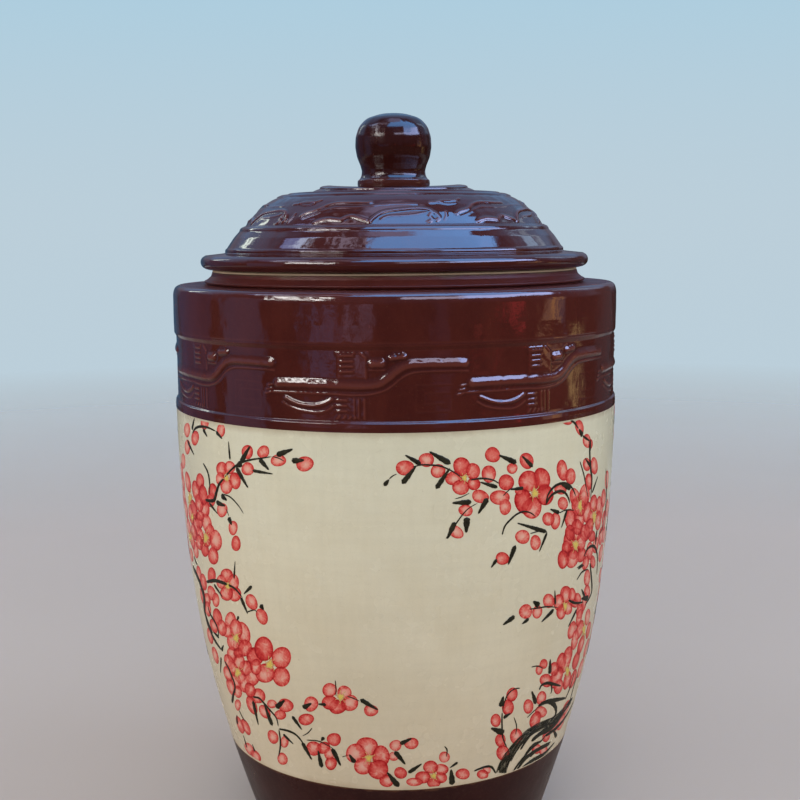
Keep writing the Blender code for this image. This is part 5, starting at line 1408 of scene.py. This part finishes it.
def studio():
    world = bpy.data.worlds.new("studio_world")
    bpy.context.scene.world = world
    world.use_nodes = True
    tree = world.node_tree
    nodes, links = tree.nodes, tree.links
    back = nodes["Background"]
    way = nodes.new("ShaderNodeTexCoord").outputs["Generated"]

    def put(target, value):
        if isinstance(value, bpy.types.NodeSocket):
            links.new(value, target)
        else:
            target.default_value = value

    def math_node(operation, a, b=0.0):
        node = nodes.new("ShaderNodeMath")
        node.operation = operation
        put(node.inputs[0], a)
        put(node.inputs[1], b)
        return node.outputs["Value"]

    def span(value, low, high, to_low=0.0, to_high=1.0):
        node = nodes.new("ShaderNodeMapRange")
        node.interpolation_type = "SMOOTHSTEP"
        put(node.inputs["Value"], value)
        node.inputs["From Min"].default_value = low
        node.inputs["From Max"].default_value = high
        node.inputs["To Min"].default_value = to_low
        node.inputs["To Max"].default_value = to_high
        return node.outputs["Result"]

    def mix(share, a, b):
        node = nodes.new("ShaderNodeMix")
        node.data_type = "RGBA"
        put(node.inputs["Factor"], share)
        for key, value in ((6, a), (7, b)):
            put(node.inputs[key], value if isinstance(value, bpy.types.NodeSocket) else (*value, 1.0))
        return node.outputs[2]

    def noise(place, scale, detail):
        node = nodes.new("ShaderNodeTexNoise")
        links.new(place, node.inputs["Vector"])
        node.inputs["Scale"].default_value = scale
        node.inputs["Detail"].default_value = detail
        return math_node("SUBTRACT", node.outputs["Fac"], 0.5)

    parts = nodes.new("ShaderNodeSeparateXYZ")
    links.new(way, parts.inputs[0])
    rise = parts.outputs["Z"]
    turn = math_node("MULTIPLY", math_node("ARCTAN2", parts.outputs["X"], math_node("MULTIPLY", parts.outputs["Y"], -1.0)), 180.0 / math.pi)
    high = math_node("MULTIPLY", math_node("ARCSINE", rise), 180.0 / math.pi)
    coarse, fine = noise(way, 5.0, 2.0), noise(way, 14.0, 3.0)
    flecks = span(fine, -0.015, 0.045)
    # dim all round, a pale far wall behind, an open sky overhead, then the patches
    colour = mix(span(rise, -0.12, 0.30), (0.030, 0.022, 0.020), (0.070, 0.085, 0.14))
    wall = math_node("MULTIPLY", span(parts.outputs["Y"], 0.10, 0.50), span(high, -1.0, 6.0))
    colour = mix(wall, colour, mix(span(high, 40.0, 56.0), mix(span(high, 12.0, 22.0), (0.17, 0.19, 0.27), (0.22, 0.44, 0.76)),
                                   (0.32, 0.54, 1.00)))
    # the lit ground, brighter to the sides and behind
    ground = mix(span(high, -24.0, -11.0), (0.27, 0.240, 0.225), (0.34, 0.37, 0.41))
    colour = mix(math_node("MULTIPLY", span(high, -9.0, -12.0), span(parts.outputs["Y"], -0.35, 0.40, 0.12, 1.0)), colour, ground)
    colour = mix(span(high, 73.0, 82.0), colour, (1.40, 1.55, 2.65))
    for (az, el, half_w, half_h, lean, soft), tint, bright, rag, broken in PATCHES:
        p = math_node("SUBTRACT", turn, az)
        if lean:
            p = math_node("SUBTRACT", p, math_node("MULTIPLY", math_node("SUBTRACT", high, el), lean))
        p = math_node("ABSOLUTE", math_node("ADD", p, math_node("MULTIPLY", fine, rag)))
        q = math_node("ABSOLUTE", math_node("ADD", math_node("SUBTRACT", high, el), math_node("MULTIPLY", coarse, 0.7 * rag)))
        mask = math_node("MULTIPLY", span(p, half_w + soft / 2, half_w - soft / 2), span(q, half_h + soft / 2, half_h - soft / 2))
        if broken:
            mask = math_node("MULTIPLY", mask, flecks)
        colour = mix(mask, colour, tuple(v * bright for v in tint))
    # a warm strip of upright streaks on the viewer's right
    place = nodes.new("ShaderNodeCombineXYZ")
    links.new(math_node("ADD", turn, math_node("MULTIPLY", coarse, 9.0)), place.inputs["X"])
    links.new(math_node("MULTIPLY", high, 0.10), place.inputs["Y"])
    streaks = noise(place.outputs[0], 0.26, 2.0)
    for az, half_w, el, half_h, tone in (
            (86.0, 8.0, 1.6, 6.8, mix(span(streaks, -0.06, 0.10), (0.26, 0.30, 0.42), (2.50, 1.25, 0.50))),
            (104.5, 7.5, -6.8, 1.9, mix(span(streaks, -0.03, 0.08), (0.12, 0.10, 0.08), (1.90, 1.30, 0.55)))):
        strip = math_node("MULTIPLY", span(math_node("ABSOLUTE", math_node("SUBTRACT", turn, az)), half_w + 1.2, half_w - 1.2),
                          span(math_node("ABSOLUTE", math_node("SUBTRACT", high, el)), half_h + 0.7, half_h - 0.7))
        colour = mix(strip, colour, tone)
    # what lights the surfaces, and what the camera sees behind the object
    around = mix(span(rise, -0.4, 0.7), (0.61, 0.535, 0.48), (0.70, 0.725, 0.78))
    seen = mix(span(rise, -0.01, 0.34), PALE, (0.360, 0.605, 0.760))
    ray = nodes.new("ShaderNodeLightPath")
    colour = mix(ray.outputs["Is Glossy Ray"], around, colour)
    colour = mix(ray.outputs["Is Camera Ray"], colour, seen)
    links.new(colour, back.inputs["Color"])
    back.inputs["Strength"].default_value = 1.0

    soft_lamp("soft_front", (-0.30, -2.3, 1.35), 2.2, 1.6, (1.0, 0.985, 0.965), 1.9)
    soft_lamp("soft_left", (-2.1, -0.1, 0.55), 1.2, 1.2, (1.0, 0.93, 0.82), 2.3)
    soft_lamp("soft_right", (2.0, -0.3, 1.0), 1.2, 1.2, (0.88, 0.95, 1.0), 2.5)


def place_camera():
    data = bpy.data.cameras.new("photo_view")
    data.lens = 55.8
    data.sensor_width = 36.0
    data.sensor_fit = "HORIZONTAL"
    data.clip_start = 0.02
    camera = link(bpy.data.objects.new("photo_view", data))
    turn = (Matrix.Rotation(math.radians(-0.20), 4, "Z") @ Matrix.Rotation(math.radians(90 - 7.7), 4, "X")
            @ Matrix.Rotation(math.radians(-0.5), 4, "Z"))
    camera.matrix_world = Matrix.Translation((0.0, -0.8265, 0.3947)) @ turn
    bpy.context.scene.camera = camera


plain_floor()
studio()
place_camera()

scene = bpy.context.scene
scene.view_settings.view_transform = "Standard"
scene.view_settings.look = "None"
scene.view_settings.exposure = 0.0
scene.view_settings.gamma = 1.0

bpy.context.view_layer.update()
